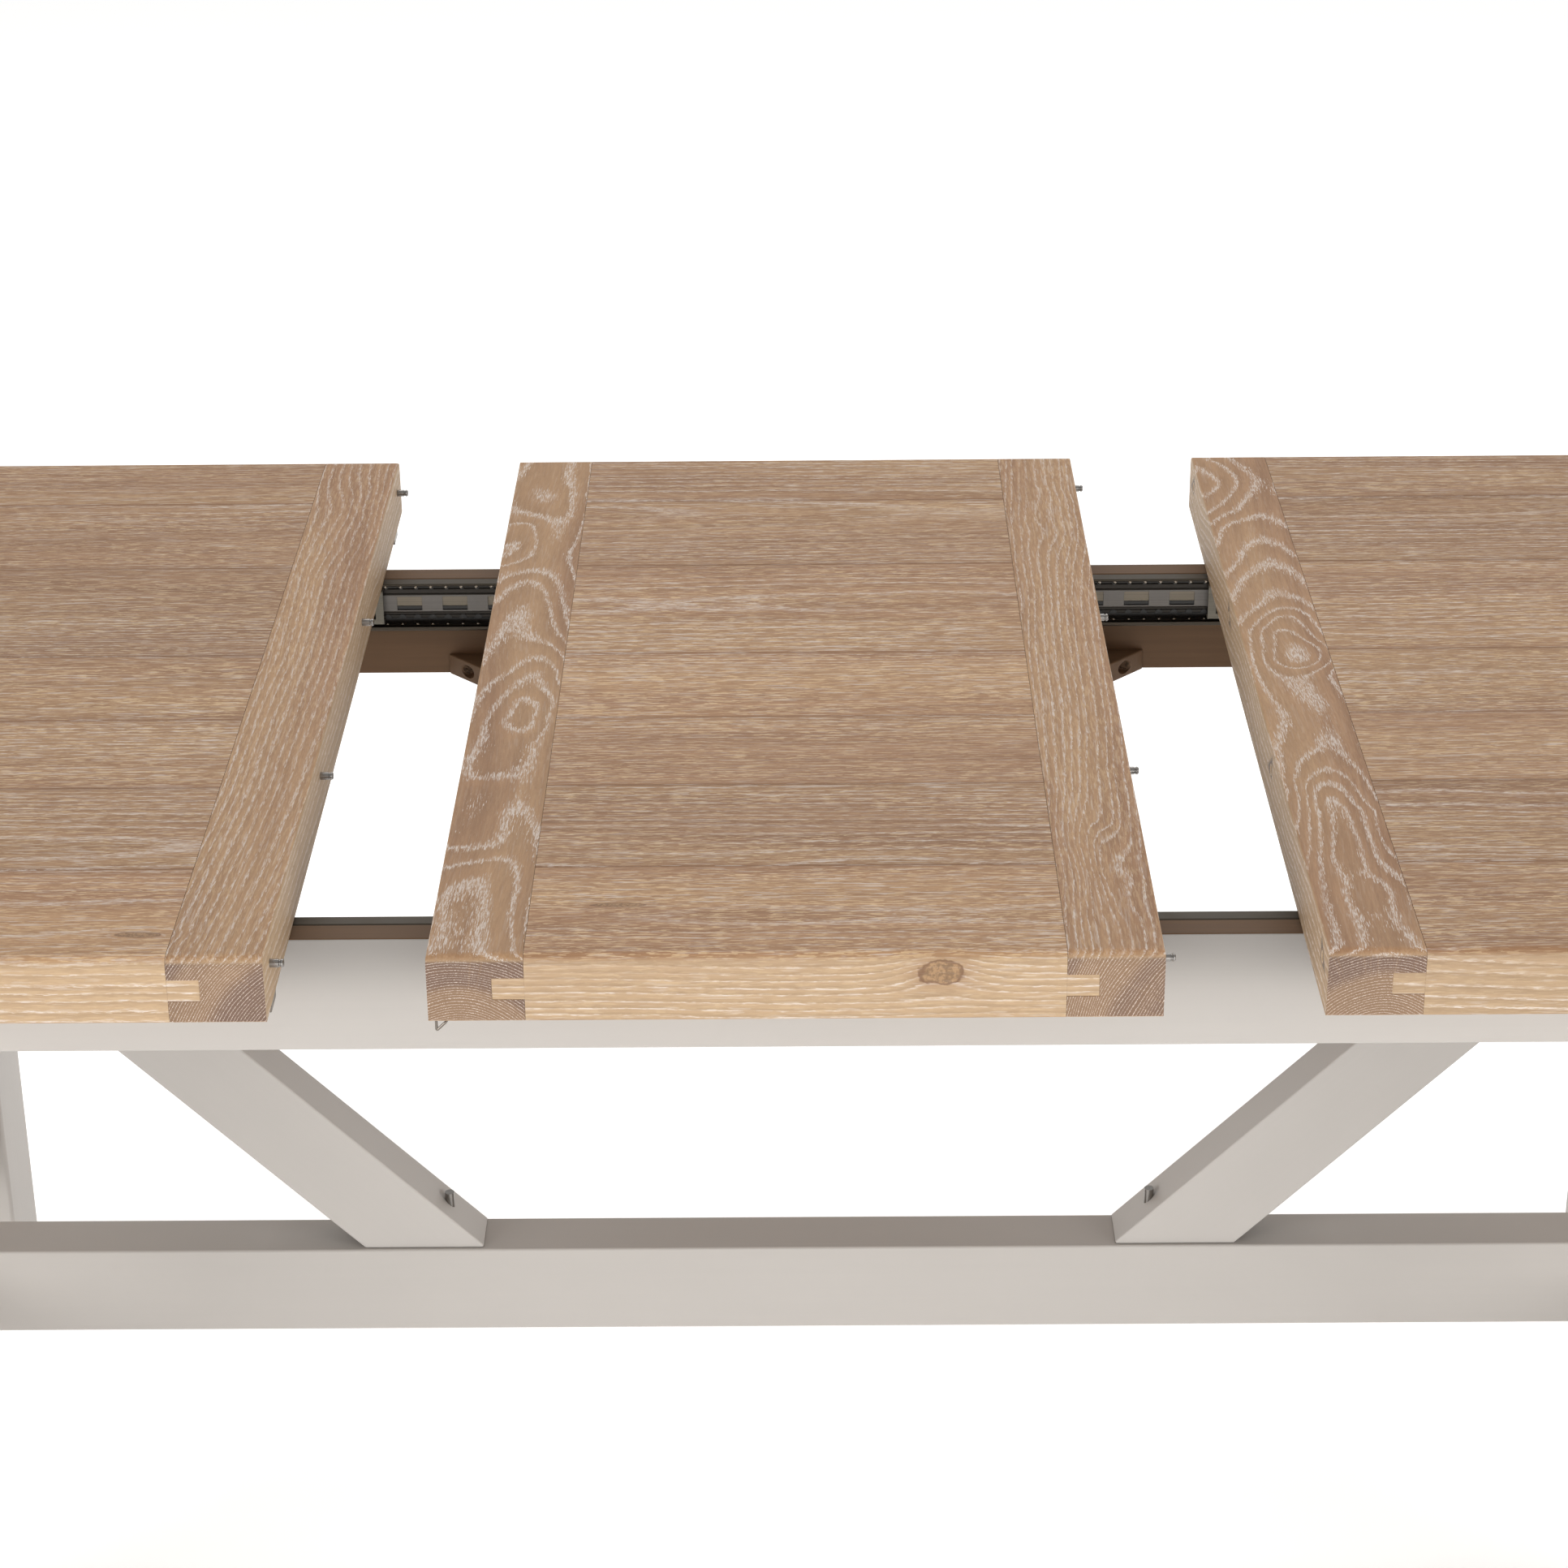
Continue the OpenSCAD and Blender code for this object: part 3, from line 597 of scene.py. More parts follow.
def piece(name, shape, body, material, replaces=(), extra=(), pick=None):
    """Makes the object, smooths it and rides it on its body; pick(face) chooses from material and extra."""
    mesh = bpy.data.meshes.new(name)
    mesh.from_pydata(shape.points, [], shape.faces)
    for key, kept in shape.values.items():
        sample = next(iter(kept.values()))
        many = hasattr(sample, "__len__")
        attribute = mesh.attributes.new(key, "FLOAT_VECTOR" if many else "FLOAT", "POINT")
        empty = (0, 0, 0) if many else 0.0
        for n in range(len(shape.points)):
            value = kept.get(n, empty)
            if many:
                attribute.data[n].vector = value
            else:
                attribute.data[n].value = value
    weld(mesh)
    for m in (material, *extra):
        mesh.materials.append(m)
    for face in mesh.polygons:
        face.use_smooth = True
        if pick:
            face.material_index = pick(face)
    mesh.set_sharp_from_angle(angle=SHARP)
    made = add(name, mesh)
    weighted = made.modifiers.new("even_normals", "WEIGHTED_NORMAL")
    weighted.keep_sharp = True
    weighted.weight = 100
    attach(made, body)
    if replaces:
        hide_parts(*replaces)
    return made


def span(node):
    low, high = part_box(node)
    return Vector(low), Vector(high)


# ---------- the oak top ----------

TABLE_TOP = cad_high.z
UNDER = span("leaf_boards")[0].z
DEPTH = cad_high.y
EDGE_R, LOW_R, END_R = 8 * MM, 2 * MM, 5 * MM
ARRIS = 0.5 * MM
MEETING_R = 2.6 * MM
TONGUE_L, TONGUE_T = 22 * MM, (TABLE_TOP - UNDER) / 3
SHARES = [14, 14, 12.7, 12.9, 19.5, 15.7, 11.2]
SEAMS = [DEPTH * (2 * sum(SHARES[:n]) / sum(SHARES) - 1) for n in range(len(SHARES) + 1)]
SEAM_GAP = 0.1 * MM
SEAM_DARK = 2 * MM
TONGUE_PLAY = 0.15 * MM
BREADBOARD_W = 66 * MM
# Metres along the grain from one tree's noise to the next
TREE_GAP = 3.7
rng = random.Random(11)


def grain(shape, start, axis, pith, look, seed, bend=None, seams=()):
    """Gives the wood from vertex start on its grain: each point's place along and away from the pith."""
    i = AXES[axis][0]

    def co(p):
        across = (p.y if axis == "x" else p.x) - pith[0]
        if bend:
            across += bend(p)
        return (p[i] + seed * TREE_GAP, across, p.z - pith[1])

    shape.note(start, oak_co=co, oak_look=look, oak_axis=0.0 if axis == "x" else 1.0)
    if seams:
        shape.note(start, oak_seam=lambda p: 1.0 if min(abs(p.y - y) for y in seams) < SEAM_DARK else 0.0)


def board_outline(y0, y1, first, last):
    """One board's section across the table."""
    left_top = EDGE_R if first else ARRIS
    right_top = EDGE_R if last else ARRIS
    left_low = LOW_R if first else ARRIS
    right_low = LOW_R if last else ARRIS
    corners = [(y0, UNDER), (y1, UNDER), (y1, TABLE_TOP), (y0, TABLE_TOP)]
    return divided(section(corners, [left_low, right_low, right_top, left_top]), 14 * MM)


def field(name, body, x0, x1):
    """The seven boards of one panel, each with its own tree, and the tongues that hold them."""
    shape = Shape()
    for n in range(len(SHARES)):
        y0 = SEAMS[n] + (0 if n == 0 else SEAM_GAP)
        y1 = SEAMS[n + 1] - (0 if n == len(SHARES) - 1 else SEAM_GAP)
        outline = board_outline(y0, y1, n == 0, n == len(SHARES) - 1)
        steps = 14
        run = rounded_ends(x0, x1, 0.6 * MM, 0.6 * MM)
        middle = [(x0 + (x1 - x0) * k / steps, 0) for k in range(1, steps)]
        start = shape.run(outline, run[:3] + middle + run[-3:], "x")
        y_mid = (y0 + y1) / 2
        low = TABLE_TOP - (TABLE_TOP - UNDER) / 2
        for t0, t1 in ((x0 - TONGUE_L, x0 + MM), (x1 - MM, x1 + TONGUE_L)):
            bottom, roof = low - TONGUE_T / 2 + TONGUE_PLAY, low + TONGUE_T / 2 - TONGUE_PLAY
            shape.box((t0, y0 + 0.3 * MM, bottom), (t1, y1 - 0.3 * MM, roof), "x", r=0.3 * MM)
        deep = rng.uniform(45, 130) * MM * rng.choice((-1, 1))
        pith = (y_mid + rng.uniform(-0.7, 0.7) * (y1 - y0), low + deep)
        look = (rng.uniform(0.87, 1.12), rng.uniform(4, 9) * MM, rng.uniform(0.75, 1.0))
        seams = [y for y in (y0, y1) if abs(y) < DEPTH - MM]
        grain(shape, start, "x", pith, look, rng.uniform(0, 9), seams=seams)
    return piece(name, shape, body, OAK, [name])


def capped(name, body, x0, x1, groove, seed, pith, look, outer=False, bend=None):
    """A breadboard from x0 to x1, its grain front to back, grooved along the face towards the boards."""
    shape = Shape()
    low = (TABLE_TOP + UNDER) / 2 - TONGUE_T / 2
    high = low + TONGUE_T
    right = groove > 0
    face = x1 if right else x0
    deep = face - (TONGUE_L if right else -TONGUE_L)
    outer_r = END_R if outer else MEETING_R
    if right:
        corners = [(x0, UNDER), (x1, UNDER), (x1, low), (deep, low), (deep, high), (x1, high),
                   (x1, TABLE_TOP), (x0, TABLE_TOP)]
        radii = [LOW_R if outer else ARRIS, ARRIS, 0, 0, 0, 0, ARRIS, outer_r]
    else:
        corners = [(x0, UNDER), (x1, UNDER), (x1, TABLE_TOP), (x0, TABLE_TOP), (x0, high), (deep, high),
                   (deep, low), (x0, low)]
        radii = [ARRIS, LOW_R if outer else ARRIS, outer_r, ARRIS, 0, 0, 0, 0]
    outline = divided(swapped(section(corners, radii)), 16 * MM)
    start = run_y(shape, outline, end_stations(-DEPTH, DEPTH), high)
    grain(shape, start, "y", pith, look, seed, bend)
    return piece(name, shape, body, OAK, [name])


def end_stations(y0, y1):
    """Stations along a breadboard: (place, how far the top has dropped, how far the underside has risen)."""
    out = []
    for k in range(9):
        a = math.pi / 2 * k / 8
        inward = EDGE_R * (1 - math.sin(a))
        rise = LOW_R - math.sqrt(max(LOW_R ** 2 - max(LOW_R - inward, 0) ** 2, 0))
        out.append((inward, EDGE_R * (1 - math.cos(a)), rise))
    out = sorted(out)
    steps = 30
    inner = y1 - y0 - 2 * EDGE_R
    head = [(y0 + d, t, u) for d, t, u in out]
    middle = [(y0 + EDGE_R + inner * k / steps, 0, 0) for k in range(1, steps)]
    tail = [(y1 - d, t, u) for d, t, u in reversed(out)]
    return head + middle + tail


def run_y(shape, outline, stations, groove_high):
    """Sweeps a breadboard's section along Y; near the ends its top drops and its underside rises."""
    start = len(shape.points)
    for place, drop, rise in stations:
        for p, _ in outline:
            z = min(p.x, TABLE_TOP - drop) if p.x > groove_high else max(p.x, UNDER + rise)
            shape.points.append(Vector((p.y, place, z)))
    return shape.skin(start, len(stations), len(outline))


def swapped(outline):
    """An outline drawn in X and Z, ready for a run along Y."""
    return [(Vector((p.y, p.x)), Vector((v.y, v.x))) for p, v in outline]


# A face whose normal lies this close to an axis is flat, and is shaded so
SQUARE_ON = 0.9999


def cut(made, cutters):
    """Cuts the cutter shape out of a finished piece."""
    mesh = bpy.data.meshes.new("cutter")
    mesh.from_pydata(cutters.points, [], cutters.faces)
    weld(mesh)
    tool = add("cutter", mesh)
    boolean = made.modifiers.new("cut", "BOOLEAN")
    boolean.object, boolean.solver = tool, "EXACT"
    made.modifiers["even_normals"].show_viewport = False
    bpy.context.view_layer.update()
    result = bpy.data.meshes.new_from_object(made.evaluated_get(bpy.context.evaluated_depsgraph_get()))
    made.modifiers.remove(boolean)
    made.modifiers["even_normals"].show_viewport = True
    made.data = result
    result.set_sharp_from_angle(angle=SHARP)
    for face in result.polygons:
        face.use_smooth = max(abs(c) for c in face.normal) < SQUARE_ON
    bpy.data.objects.remove(tool)


# ---------- the painted base ----------

LEG = span("rear_right_leg")
LEG_X, LEG_Y = LEG[0].x, LEG[0].y
APRON = span("rear_apron")
STRETCHER = span("right_end_stretcher")
LONG = span("long_stretcher")
BRACE = span("right_brace")


def member(name, low, high, axis, nodes, r=1.6 * MM, brown=None, material=None):
    """A length of base timber with softened edges; brown(face) says which faces are stained instead."""
    shape = Shape()
    start = shape.box(Vector(low), Vector(high), axis, r)
    mark_grain(shape, start, axis)
    pick = (lambda face: 1 if brown(face.normal) else 0) if brown else None
    return piece(name, shape, "base", material or PAINTED, nodes, extra=(STAINED,), pick=pick)


def mark_grain(shape, start, axis):
    """Gives the wood from vertex start on its grain coordinates, the way of the grain first."""
    i, j, k = AXES[axis]
    shape.note(start, member_co=lambda p: (p[i], p[j], p[k]))


def legs():
    for side in ("left", "right"):
        for end in ("front", "rear"):
            node = f"{end}_{side}_leg"
            low, high = span(node)
            shape = Shape()
            start = shape.box(low, high, "z", 4 * MM, 1.5 * MM)
            mark_grain(shape, start, "z")
            piece(node + "_look", shape, "base", PAINTED, [node])


def aprons():
    for end, way in ENDS:
        low, high = span(end + "_apron")
        low.x, high.x = -LEG_X, LEG_X
        member(f"{end}_apron_look", low, high, "x", [end + "_apron"],
               brown=lambda n, way=way: n.z > 0.7 or n.y * way < -0.7)
    for side, way in SIDES:
        low, high = span(side + "_end_apron")
        low.y, high.y = -LEG_Y, LEG_Y
        member(f"{side}_end_apron_look", low, high, "y", [side + "_end_apron"],
               brown=lambda n, way=way: n.z > 0.7 or n.x * way < -0.7)


# Sunk holes for the stretcher bolts: how far above and below the middle, and (radius, depth) points
BOLT_Z = 24 * MM
SINK = mm([(0, -10), (10.4, -10), (10.4, 2), (0, 2)])


def stretchers():
    low, high = LONG[0].copy(), LONG[1].copy()
    low.x, high.x = -STRETCHER[0].x, STRETCHER[0].x
    member("long_stretcher_look", low, high, "x", ["long_stretcher"], r=2.2 * MM)
    for side, way in SIDES:
        low, high = span(side + "_end_stretcher")
        low.y, high.y = -LEG_Y, LEG_Y
        made = member(f"{side}_end_stretcher_look", low, high, "y", [side + "_end_stretcher"], r=2.2 * MM)
        sinks = Shape()
        face = high.x if way > 0 else low.x
        for z in (-BOLT_Z, BOLT_Z):
            sinks.turned(SINK, (face, 0, (low.z + high.z) / 2 + z), (way, 0, 0), 32)
        cut(made, sinks)


# Cosine of 45 degrees, to four places
COS_45 = 0.7071


def braces():
    """A 45 degree brace each side, its head trimmed plumb."""
    width = 103 * MM
    for side, way in SIDES:
        low, high = span(side + "_brace")
        foot, out = BRACE[0].x, BRACE[1].x
        rise = BRACE[1].z - BRACE[0].z
        plumb = BRACE[0].z + out - foot - width
        corners = [(foot, low.z), (foot + width, low.z), (out, plumb), (out, high.z), (foot + rise, high.z)]
        if way < 0:
            corners = [(-x, z) for x, z in reversed(corners)]
        shape = Shape()
        outline = swapped(section(corners, 1.8 * MM))
        start = shape.run(outline, rounded_ends(low.y, high.y, 1.8 * MM, 1.8 * MM), "y")
        shape.note(start, member_co=lambda p, way=way: (
            (p.x * way + p.z) * COS_45, p.y, (p.z - p.x * way) * COS_45))
        piece(f"{side}_brace_look", shape, "base", PAINTED, [side + "_brace"])


def brown_rails():
    for side in ("left", "right"):
        for kind in ("cross_rail", "brace_rail"):
            node = f"{side}_{kind}"
            low, high = span(node)
            member(node + "_look", low, high, "y", [node], material=STAINED)


def corner_blocks():
    """Triangular blocks between the cross rails and the aprons, with a sunk screw hole each way."""
    low, high = span("cross_rail_blocks")
    rail = span("right_cross_rail")[1].x
    thick = high.z - low.z
    z = low.z + thick / 2
    far, near = 45 * MM, 13 * MM
    profile = mm([(0, -40), (6, -40), (6, 0), (0, 0)])
    shape, holes = Shape(), Shape()
    for way, end in QUARTERS:
        corners = [(rail * way, high.y * end), (high.x * way, high.y * end),
                   (rail * way, (high.y - high.x + rail) * end)]
        if way * end > 0:
            corners.reverse()
        outline = section(corners, 1.2 * MM)
        start = shape.run(outline, rounded_ends(low.z, high.z, 1.2 * MM, 1.2 * MM), "z")
        mark_grain(shape, start, "x")
        holes.turned(profile, ((rail + far) * way, (high.y - near) * end, z), (0, end, 0), 28)
        holes.turned(profile, ((rail + near) * way, (high.y - far) * end, z), (-way, 0, 0), 28)
    made = piece("corner_blocks_look", shape, "base", STAINED, ["cross_rail_blocks"])
    cut(made, holes)


# ---------- metal and small parts ----------

def cad_finish(material, *nodes):
    """Small parts that keep their CAD shape get a finish and softened edges."""
    for node in nodes:
        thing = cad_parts[node]
        thing.data.materials.clear()
        thing.data.materials.append(material)
        bevel = thing.modifiers.new("soft_edges", "BEVEL")
        bevel.width, bevel.segments = 0.2 * MM, 2
        bevel.limit_method, bevel.angle_limit = "ANGLE", math.radians(35)


def glides():
    """A turned glide under each leg."""
    low = span("foot_glides")[0]
    shape = Shape()
    h = LEG[0].z - low.z
    profile = [(0, 0), (12.5 * MM, 0), (14.4 * MM, 0.7 * MM), (15 * MM, 2 * MM), (15 * MM, h - 0.8 * MM),
               (14.2 * MM, h), (0, h)]
    x, y = (LEG[0].x + LEG[1].x) / 2, (LEG[0].y + LEG[1].y) / 2
    for way, end in QUARTERS:
        shape.turned(profile, (x * way, y * end, low.z), (0, 0, 1), 40)
    piece("foot_glides_look", shape, "base", ZINC, ["foot_glides"])


APRON_IN = APRON[0].y
SLIDE = span("rear_outer_rail")
SLIDE_Z = (SLIDE[0].z + SLIDE[1].z) / 2
SLIDE_V = (SLIDE[1].z - SLIDE[0].z) / 2
SLIDE_U = APRON_IN - SLIDE[0].y
INNER = span("right_inner_rails")
CAGES = span("right_cages")


def sheet_outline(path, thick, r):
    """The outline of sheet metal bent along a path of (u, v) points, its bends rounded."""
    path = [Vector(p) for p in path]
    line = [path[0]]
    for before, p, after in zip(path, path[1:], path[2:]):
        a, b = unit(before - p), unit(after - p)
        reach = min(r / math.tan(a.angle(b) / 2), (before - p).length / 2, (after - p).length / 2)
        for t in (0, 0.25, 0.5, 0.75, 1):
            line.append(p.lerp(p + a * reach, 1 - t) * (1 - t) + p.lerp(p + b * reach, t) * t)
    line.append(path[-1])
    left, right = [], []
    for n, p in enumerate(line):
        way = unit(line[min(n + 1, len(line) - 1)] - line[max(n - 1, 0)])
        side = Vector((-way.y, way.x)) * thick / 2
        left.append((p + side, unit(side)))
        right.append((p - side, -unit(side)))
    return left + right[::-1]


def slide_run(shape, path, thick, x0, x1, end, r=1.2 * MM):
    """A bent-sheet rail along one apron; the path is (in from the apron, up from the slide's middle)."""
    outline = [(Vector((end * (APRON_IN - p.x), SLIDE_Z + p.y)), Vector((-end * v.x, v.y)))
               for p, v in sheet_outline(mm(path), thick * MM, r)]
    if x1 < x0:
        x0, x1 = x1, x0
    shape.run(outline, rounded_ends(x0, x1, 0.25 * MM, 0.25 * MM), "x")


def outer_rails():
    """The long outer channels, with rounded ball tracks and a bead along the web; the upper web is painted
    lighter as painted light, and a black band across the lower web is painted shadow.
    """
    out, top = SLIDE_U / MM - 0.75, SLIDE_V / MM - 0.75
    path = [(out, top - 1.0), (out, top), (0.75, top), (0.75, 8.5), (1.2, 7.5), (1.2, -2.0), (0.75, -3.0),
            (0.75, -8.5), (0.75, -top), (out, -top), (out, 3.2 - top)]

    # Painted light and shadow: the lighter copy of the rail steel on the upper web, black across the lower web
    # where its shadow falls
    def lit_web_and_shadow_band_at(face):
        v = (face.center.z - SLIDE_Z) / MM
        return 1 if -2.5 < v < 8 else 2 if -9 < v < 0 else 0

    for name, end in ENDS:
        shape = Shape()
        slide_run(shape, path, 1.4, SLIDE[0].x, SLIDE[1].x, end, 1.6 * MM)
        piece(f"{name}_outer_rail_look", shape, "base", RAIL, [name + "_outer_rail"],
              extra=(RAIL_WEB_LIT, SHADOW_BLACK), pick=lit_web_and_shadow_band_at)


def inner_rails():
    """The channels that ride with each half, each closed at its inner end by a pale stop."""
    x0, x1 = INNER[0].x, INNER[1].x
    web, half, back = 12.75, 15.35, 4
    path = [(back, half), (web, half), (web, -half), (back, -half)]
    for side, way in SIDES:
        shape, holes, stop = Shape(), Shape(), Shape()
        for end in (-1, 1):
            slide_run(shape, path, 1.4, x0 * way, x1 * way, end, 1.6 * MM)
            x, y, z = (x0 + 10 * MM) * way, end * (APRON_IN - web * MM), SLIDE_Z - 8 * MM
            reach = Vector((2.8, 2, 2.8)) * MM
            holes.box(Vector((x, y, z)) - reach, Vector((x, y, z)) + reach, "y", 0.3 * MM, 0)
            near, far = sorted(((x0 + 1 * MM) * way, (x0 + 6 * MM) * way))
            inside, outside = sorted((end * (APRON_IN - 4.6 * MM), end * (APRON_IN - 11.4 * MM)))
            stop.box((near, inside, SLIDE_Z - 13 * MM), (far, outside, SLIDE_Z + 13 * MM), "x", 0.8 * MM)
        made = piece(f"{side}_inner_rails_look", shape, side + "_half", RAIL_BRIGHT,
                     [side + "_inner_rails"])
        cut(made, holes)
        piece(f"{side}_rail_stops", stop, side + "_half", STOP)


BALL_PITCH = 40 * MM / 3
BALLS = 22
FIRST_BALL = 10 * MM


def scallops(shape, x0, u, v, drop, r, end, way):
    """A thin strip behind a row of balls, its edge in scallops round each ball, drop away from v; it stands
    for the shadow round the balls.
    """
    points = []
    down = -1 if drop < 0 else 1
    for n in range(BALLS):
        middle = x0 + FIRST_BALL + n * BALL_PITCH
        for k in range(9):
            a = math.pi * k / 8
            points.append((middle - r * math.cos(a), v + drop + down * r * math.sin(a)))
    line = [(points[0][0] - 3 * MM, v), *points, (points[-1][0] + 3 * MM, v)]
    if (down > 0) == (way * end > 0):
        line.reverse()
    start, count = len(shape.points), len(line)
    for depth in (u, u + 0.45 * MM):
        shape.points += [Vector((x * way, end * (APRON_IN - depth), SLIDE_Z + z)) for x, z in line]
    shape.faces.append(tuple(start + n for n in range(count)))
    shape.faces.append(tuple(start + count + n for n in reversed(range(count))))
    for n in range(count):
        m = (n + 1) % count
        shape.faces.append((start + n, start + m, start + count + m, start + count + n))


def cages():
    """Ball cages: a strip with ridges and a row of windows, its flat web lighter than its ridges as painted
    light, and rows of balls before thin black strips of painted shadow.
    """
    x0, x1 = CAGES[0].x, CAGES[1].x
    half, back, out = 19 - 0.45, 2.45, 10.3
    path = [(out - 0.8, half), (back, half), (back, 15.2), (back + 1.1, 13.6), (back + 1.1, 10.4),
            (back, 8.6), (back, 7.7), (back, -7.6), (back + 1.0, -8.3), (back + 1.0, -9.8), (back, -10.6),
            (back, -half), (out - 0.6, -half), (out, 1.3 - half)]
    pitch, long, high = 40 * MM, 22 * MM, 13 * MM
    count = int((x1 - x0) // pitch)
    margin = (x1 - x0 - pitch * (count - 1)) / 2
    for side, way in SIDES:
        body = side + "_ball_cages"
        shape, windows, balls, shadow_strips = Shape(), Shape(), Shape(), Shape()
        for end in (-1, 1):
            slide_run(shape, path, 0.8, x0 * way, x1 * way, end, 0.8 * MM)
            for n in range(count):
                x, y = (x0 + margin + n * pitch) * way, end * (APRON_IN - back * MM)
                windows.box((x - long / 2, y - 2 * MM, SLIDE_Z - high / 2),
                            (x + long / 2, y + 2 * MM, SLIDE_Z + high / 2), "y", 0.6 * MM, 0)
            # Thin black strips behind the ball rows: painted shadow round the balls
            scallops(shadow_strips, x0, 2.9 * MM, -18 * MM, 4.5 * MM, 3.2 * MM, end, way)
            scallops(shadow_strips, x0, 3.7 * MM, 18 * MM, -2.6 * MM, 1.7 * MM, end, way)
            for v in (-18.36 * MM, 18.36 * MM):
                for n in range(BALLS):
                    x = (x0 + FIRST_BALL + n * BALL_PITCH) * way
                    balls.ball((x, end * (APRON_IN - 7.9 * MM), SLIDE_Z + v), 2.1 * MM)
        # The flat web takes the lighter copy of the steel: painted light against the darker ridges
        made = piece(f"{side}_cages_look", shape, body, CAGE, [side + "_cages"], extra=(CAGE_WEB_LIT,),
                     pick=lambda face: 1 if abs(face.center.z - SLIDE_Z) < 7.75 * MM else 0)
        cut(made, windows)
        piece(f"{side}_ball_shadow_strips", shadow_strips, body, SHADOW_BLACK)
        piece(f"{side}_balls_look", balls, body, BALL, [side + "_balls"])


def runners():
    """The timber strips that carry each half on its inner rails."""
    for side in ("left", "right"):
        low, high = span(side + "_runners")
        wide = 24 * MM
        shape = Shape()
        for end in (-1, 1):
            y0, y1 = sorted((end * high.y, end * (high.y - wide)))
            start = shape.box((low.x, y0, low.z), (high.x, y1, high.z), "x", 1.2 * MM)
            mark_grain(shape, start, "x")
        piece(f"{side}_runners_look", shape, side + "_half", STAINED, [side + "_runners"])


PIN_Z = TABLE_TOP - 20 * MM
PIN_Y = (-445 * MM, -148 * MM, 148 * MM, 445 * MM)


def pins():
    """Alignment pins, each with a groove behind its rounded tip, and the bushes that take them."""
    r, out = 3, 10
    pin = [(0, -20), (r, -20), (r, out - 3.6), (r - 0.55, out - 3.2), (r - 0.55, out - 2.5), (r, out - 2.1),
           (r, out - 1.3), (r - 0.25, out - 0.6), (r - 0.9, out - 0.12), (r - 1.6, out), (0, out)]
    bush = [(3.2, 13.5), (3.2, 0.5), (3.7, 0.03), (4.55, 0.03), (4.55, 13.5)]
    half = span("right_inner_breadboard")[0].x
    leaf = span("leaf_right_breadboard")[1].x
    rows = [
        ("left_pins", "left_half", -half, pin, ZINC, "zinc_steel"),
        ("leaf_pins", "leaf", leaf, pin, ZINC, "zinc_steel"),
        ("leaf_bushes", "leaf", -leaf, bush, NYLON, "nylon"),
        ("right_bushes", "right_half", half, bush, NYLON, "nylon"),
    ]
    for name, body, x, profile, material, slot in rows:
        shape = Shape()
        for y in PIN_Y:
            shape.turned(mm(profile), (x, y, PIN_Z), (1, 0, 0), 32)
        piece(name + "_look", shape, body, material, [name])


def bush_holes(x):
    """Round holes into a breadboard's left face at x, for its bushes."""
    depth, r = 16 * MM, 4.55 * MM
    shape = Shape()
    for y in PIN_Y:
        shape.turned([(0, -MM), (r, -MM), (r, depth), (0, depth)], (x, y, PIN_Z), (1, 0, 0), 32)
    return shape


def pads():
    """Felt pads between the leaf and the aprons."""
    low, high = span("leaf_pads")
    shape = Shape()
    r, h = 9 * MM, high.z - low.z
    profile = [(0, 0), (r, 0), (r, h - 0.5 * MM), (r - 0.6 * MM, h), (0, h)]
    x, y = high.x - r, high.y - r
    for way, end in QUARTERS:
        shape.turned(profile, (x * way, y * end, low.z), (0, 0, 1), 32)
    piece("leaf_pads_look", shape, "leaf", FELT, ["leaf_pads"])


# ---------- latches ----------

LATCH_Z = UNDER - 5.5 * MM


def bail(name):
    """A wire loop bent into a hook at its free end; it is a body of its own."""
    low, high = span(name)
    pivot = Vector((high.x - 4.5 * MM, (low.y + high.y) / 2, LATCH_Z))
    more = (LATCH_Z - 18.5 * MM - low.z) / MM
    side = Vector((0, 15 * MM, 0))
    flat = ((0, 0, 0), (-3.5, 0, -7 - more), (-3.5, 0, -17.5 - more), (3.5, 0, -10.5 - more))
    flat = [Vector(p) * MM for p in flat]
    loop = [pivot + p - side for p in reversed(flat)] + [pivot + p + side for p in flat]
    path = []
    for n, p in enumerate(loop):
        before, after = loop[n - 1], loop[(n + 1) % len(loop)]
        a = p + unit(before - p) * min(1.6 * MM, (before - p).length * 0.45)
        b = p + unit(after - p) * min(1.6 * MM, (after - p).length * 0.45)
        for t in (0, 0.25, 0.5, 0.75, 1):
            path.append(a.lerp(p, t).lerp(p.lerp(b, t), t))
    shape = Shape()
    shape.tube(path, 1 * MM, 16)
    piece(name + "_look", shape, name, WIRE, [name])


def latch_plates(node, body):
    """Hinge plates with a rolled knuckle round each bail's top bar."""
    low, high = span(node)
    half, curl = 14 * MM, 11 * MM
    knuckle = mm([(0, -11), (2.3, -11), (2.6, -10.7), (2.6, 10.7), (2.3, 11), (0, 11)])
    shape = Shape()
    for y in (low.y + half, high.y - half):
        x = low.x + 2.6 * MM
        shape.box((low.x, y - half, UNDER - 1.5 * MM), (low.x + 17 * MM, y + half, UNDER), "x", 0.4 * MM)
        shape.box((x - 2.55 * MM, y - curl, LATCH_Z), (x + 2.55 * MM, y + curl, UNDER - MM), "x", 0.3 * MM)
        shape.turned(knuckle, (x, y, LATCH_Z), (0, 1, 0), 28)
    piece(node + "_look", shape, body, WIRE, [node])


def strikes(node, body):
    """Bent plates whose lip the bails hook over."""
    low, high = span(node)
    half = 12 * MM
    shape = Shape()
    for y in (low.y + half, high.y - half):
        shape.box((low.x, y - half, high.z - 1.5 * MM), (high.x, y + half, high.z), "x", 0.4 * MM)
        shape.box((high.x - 1.8 * MM, y - half, low.z), (high.x, y + half, high.z), "z", 0.5 * MM)
    piece(node + "_look", shape, body, WIRE, [node])


# ---------- building ----------

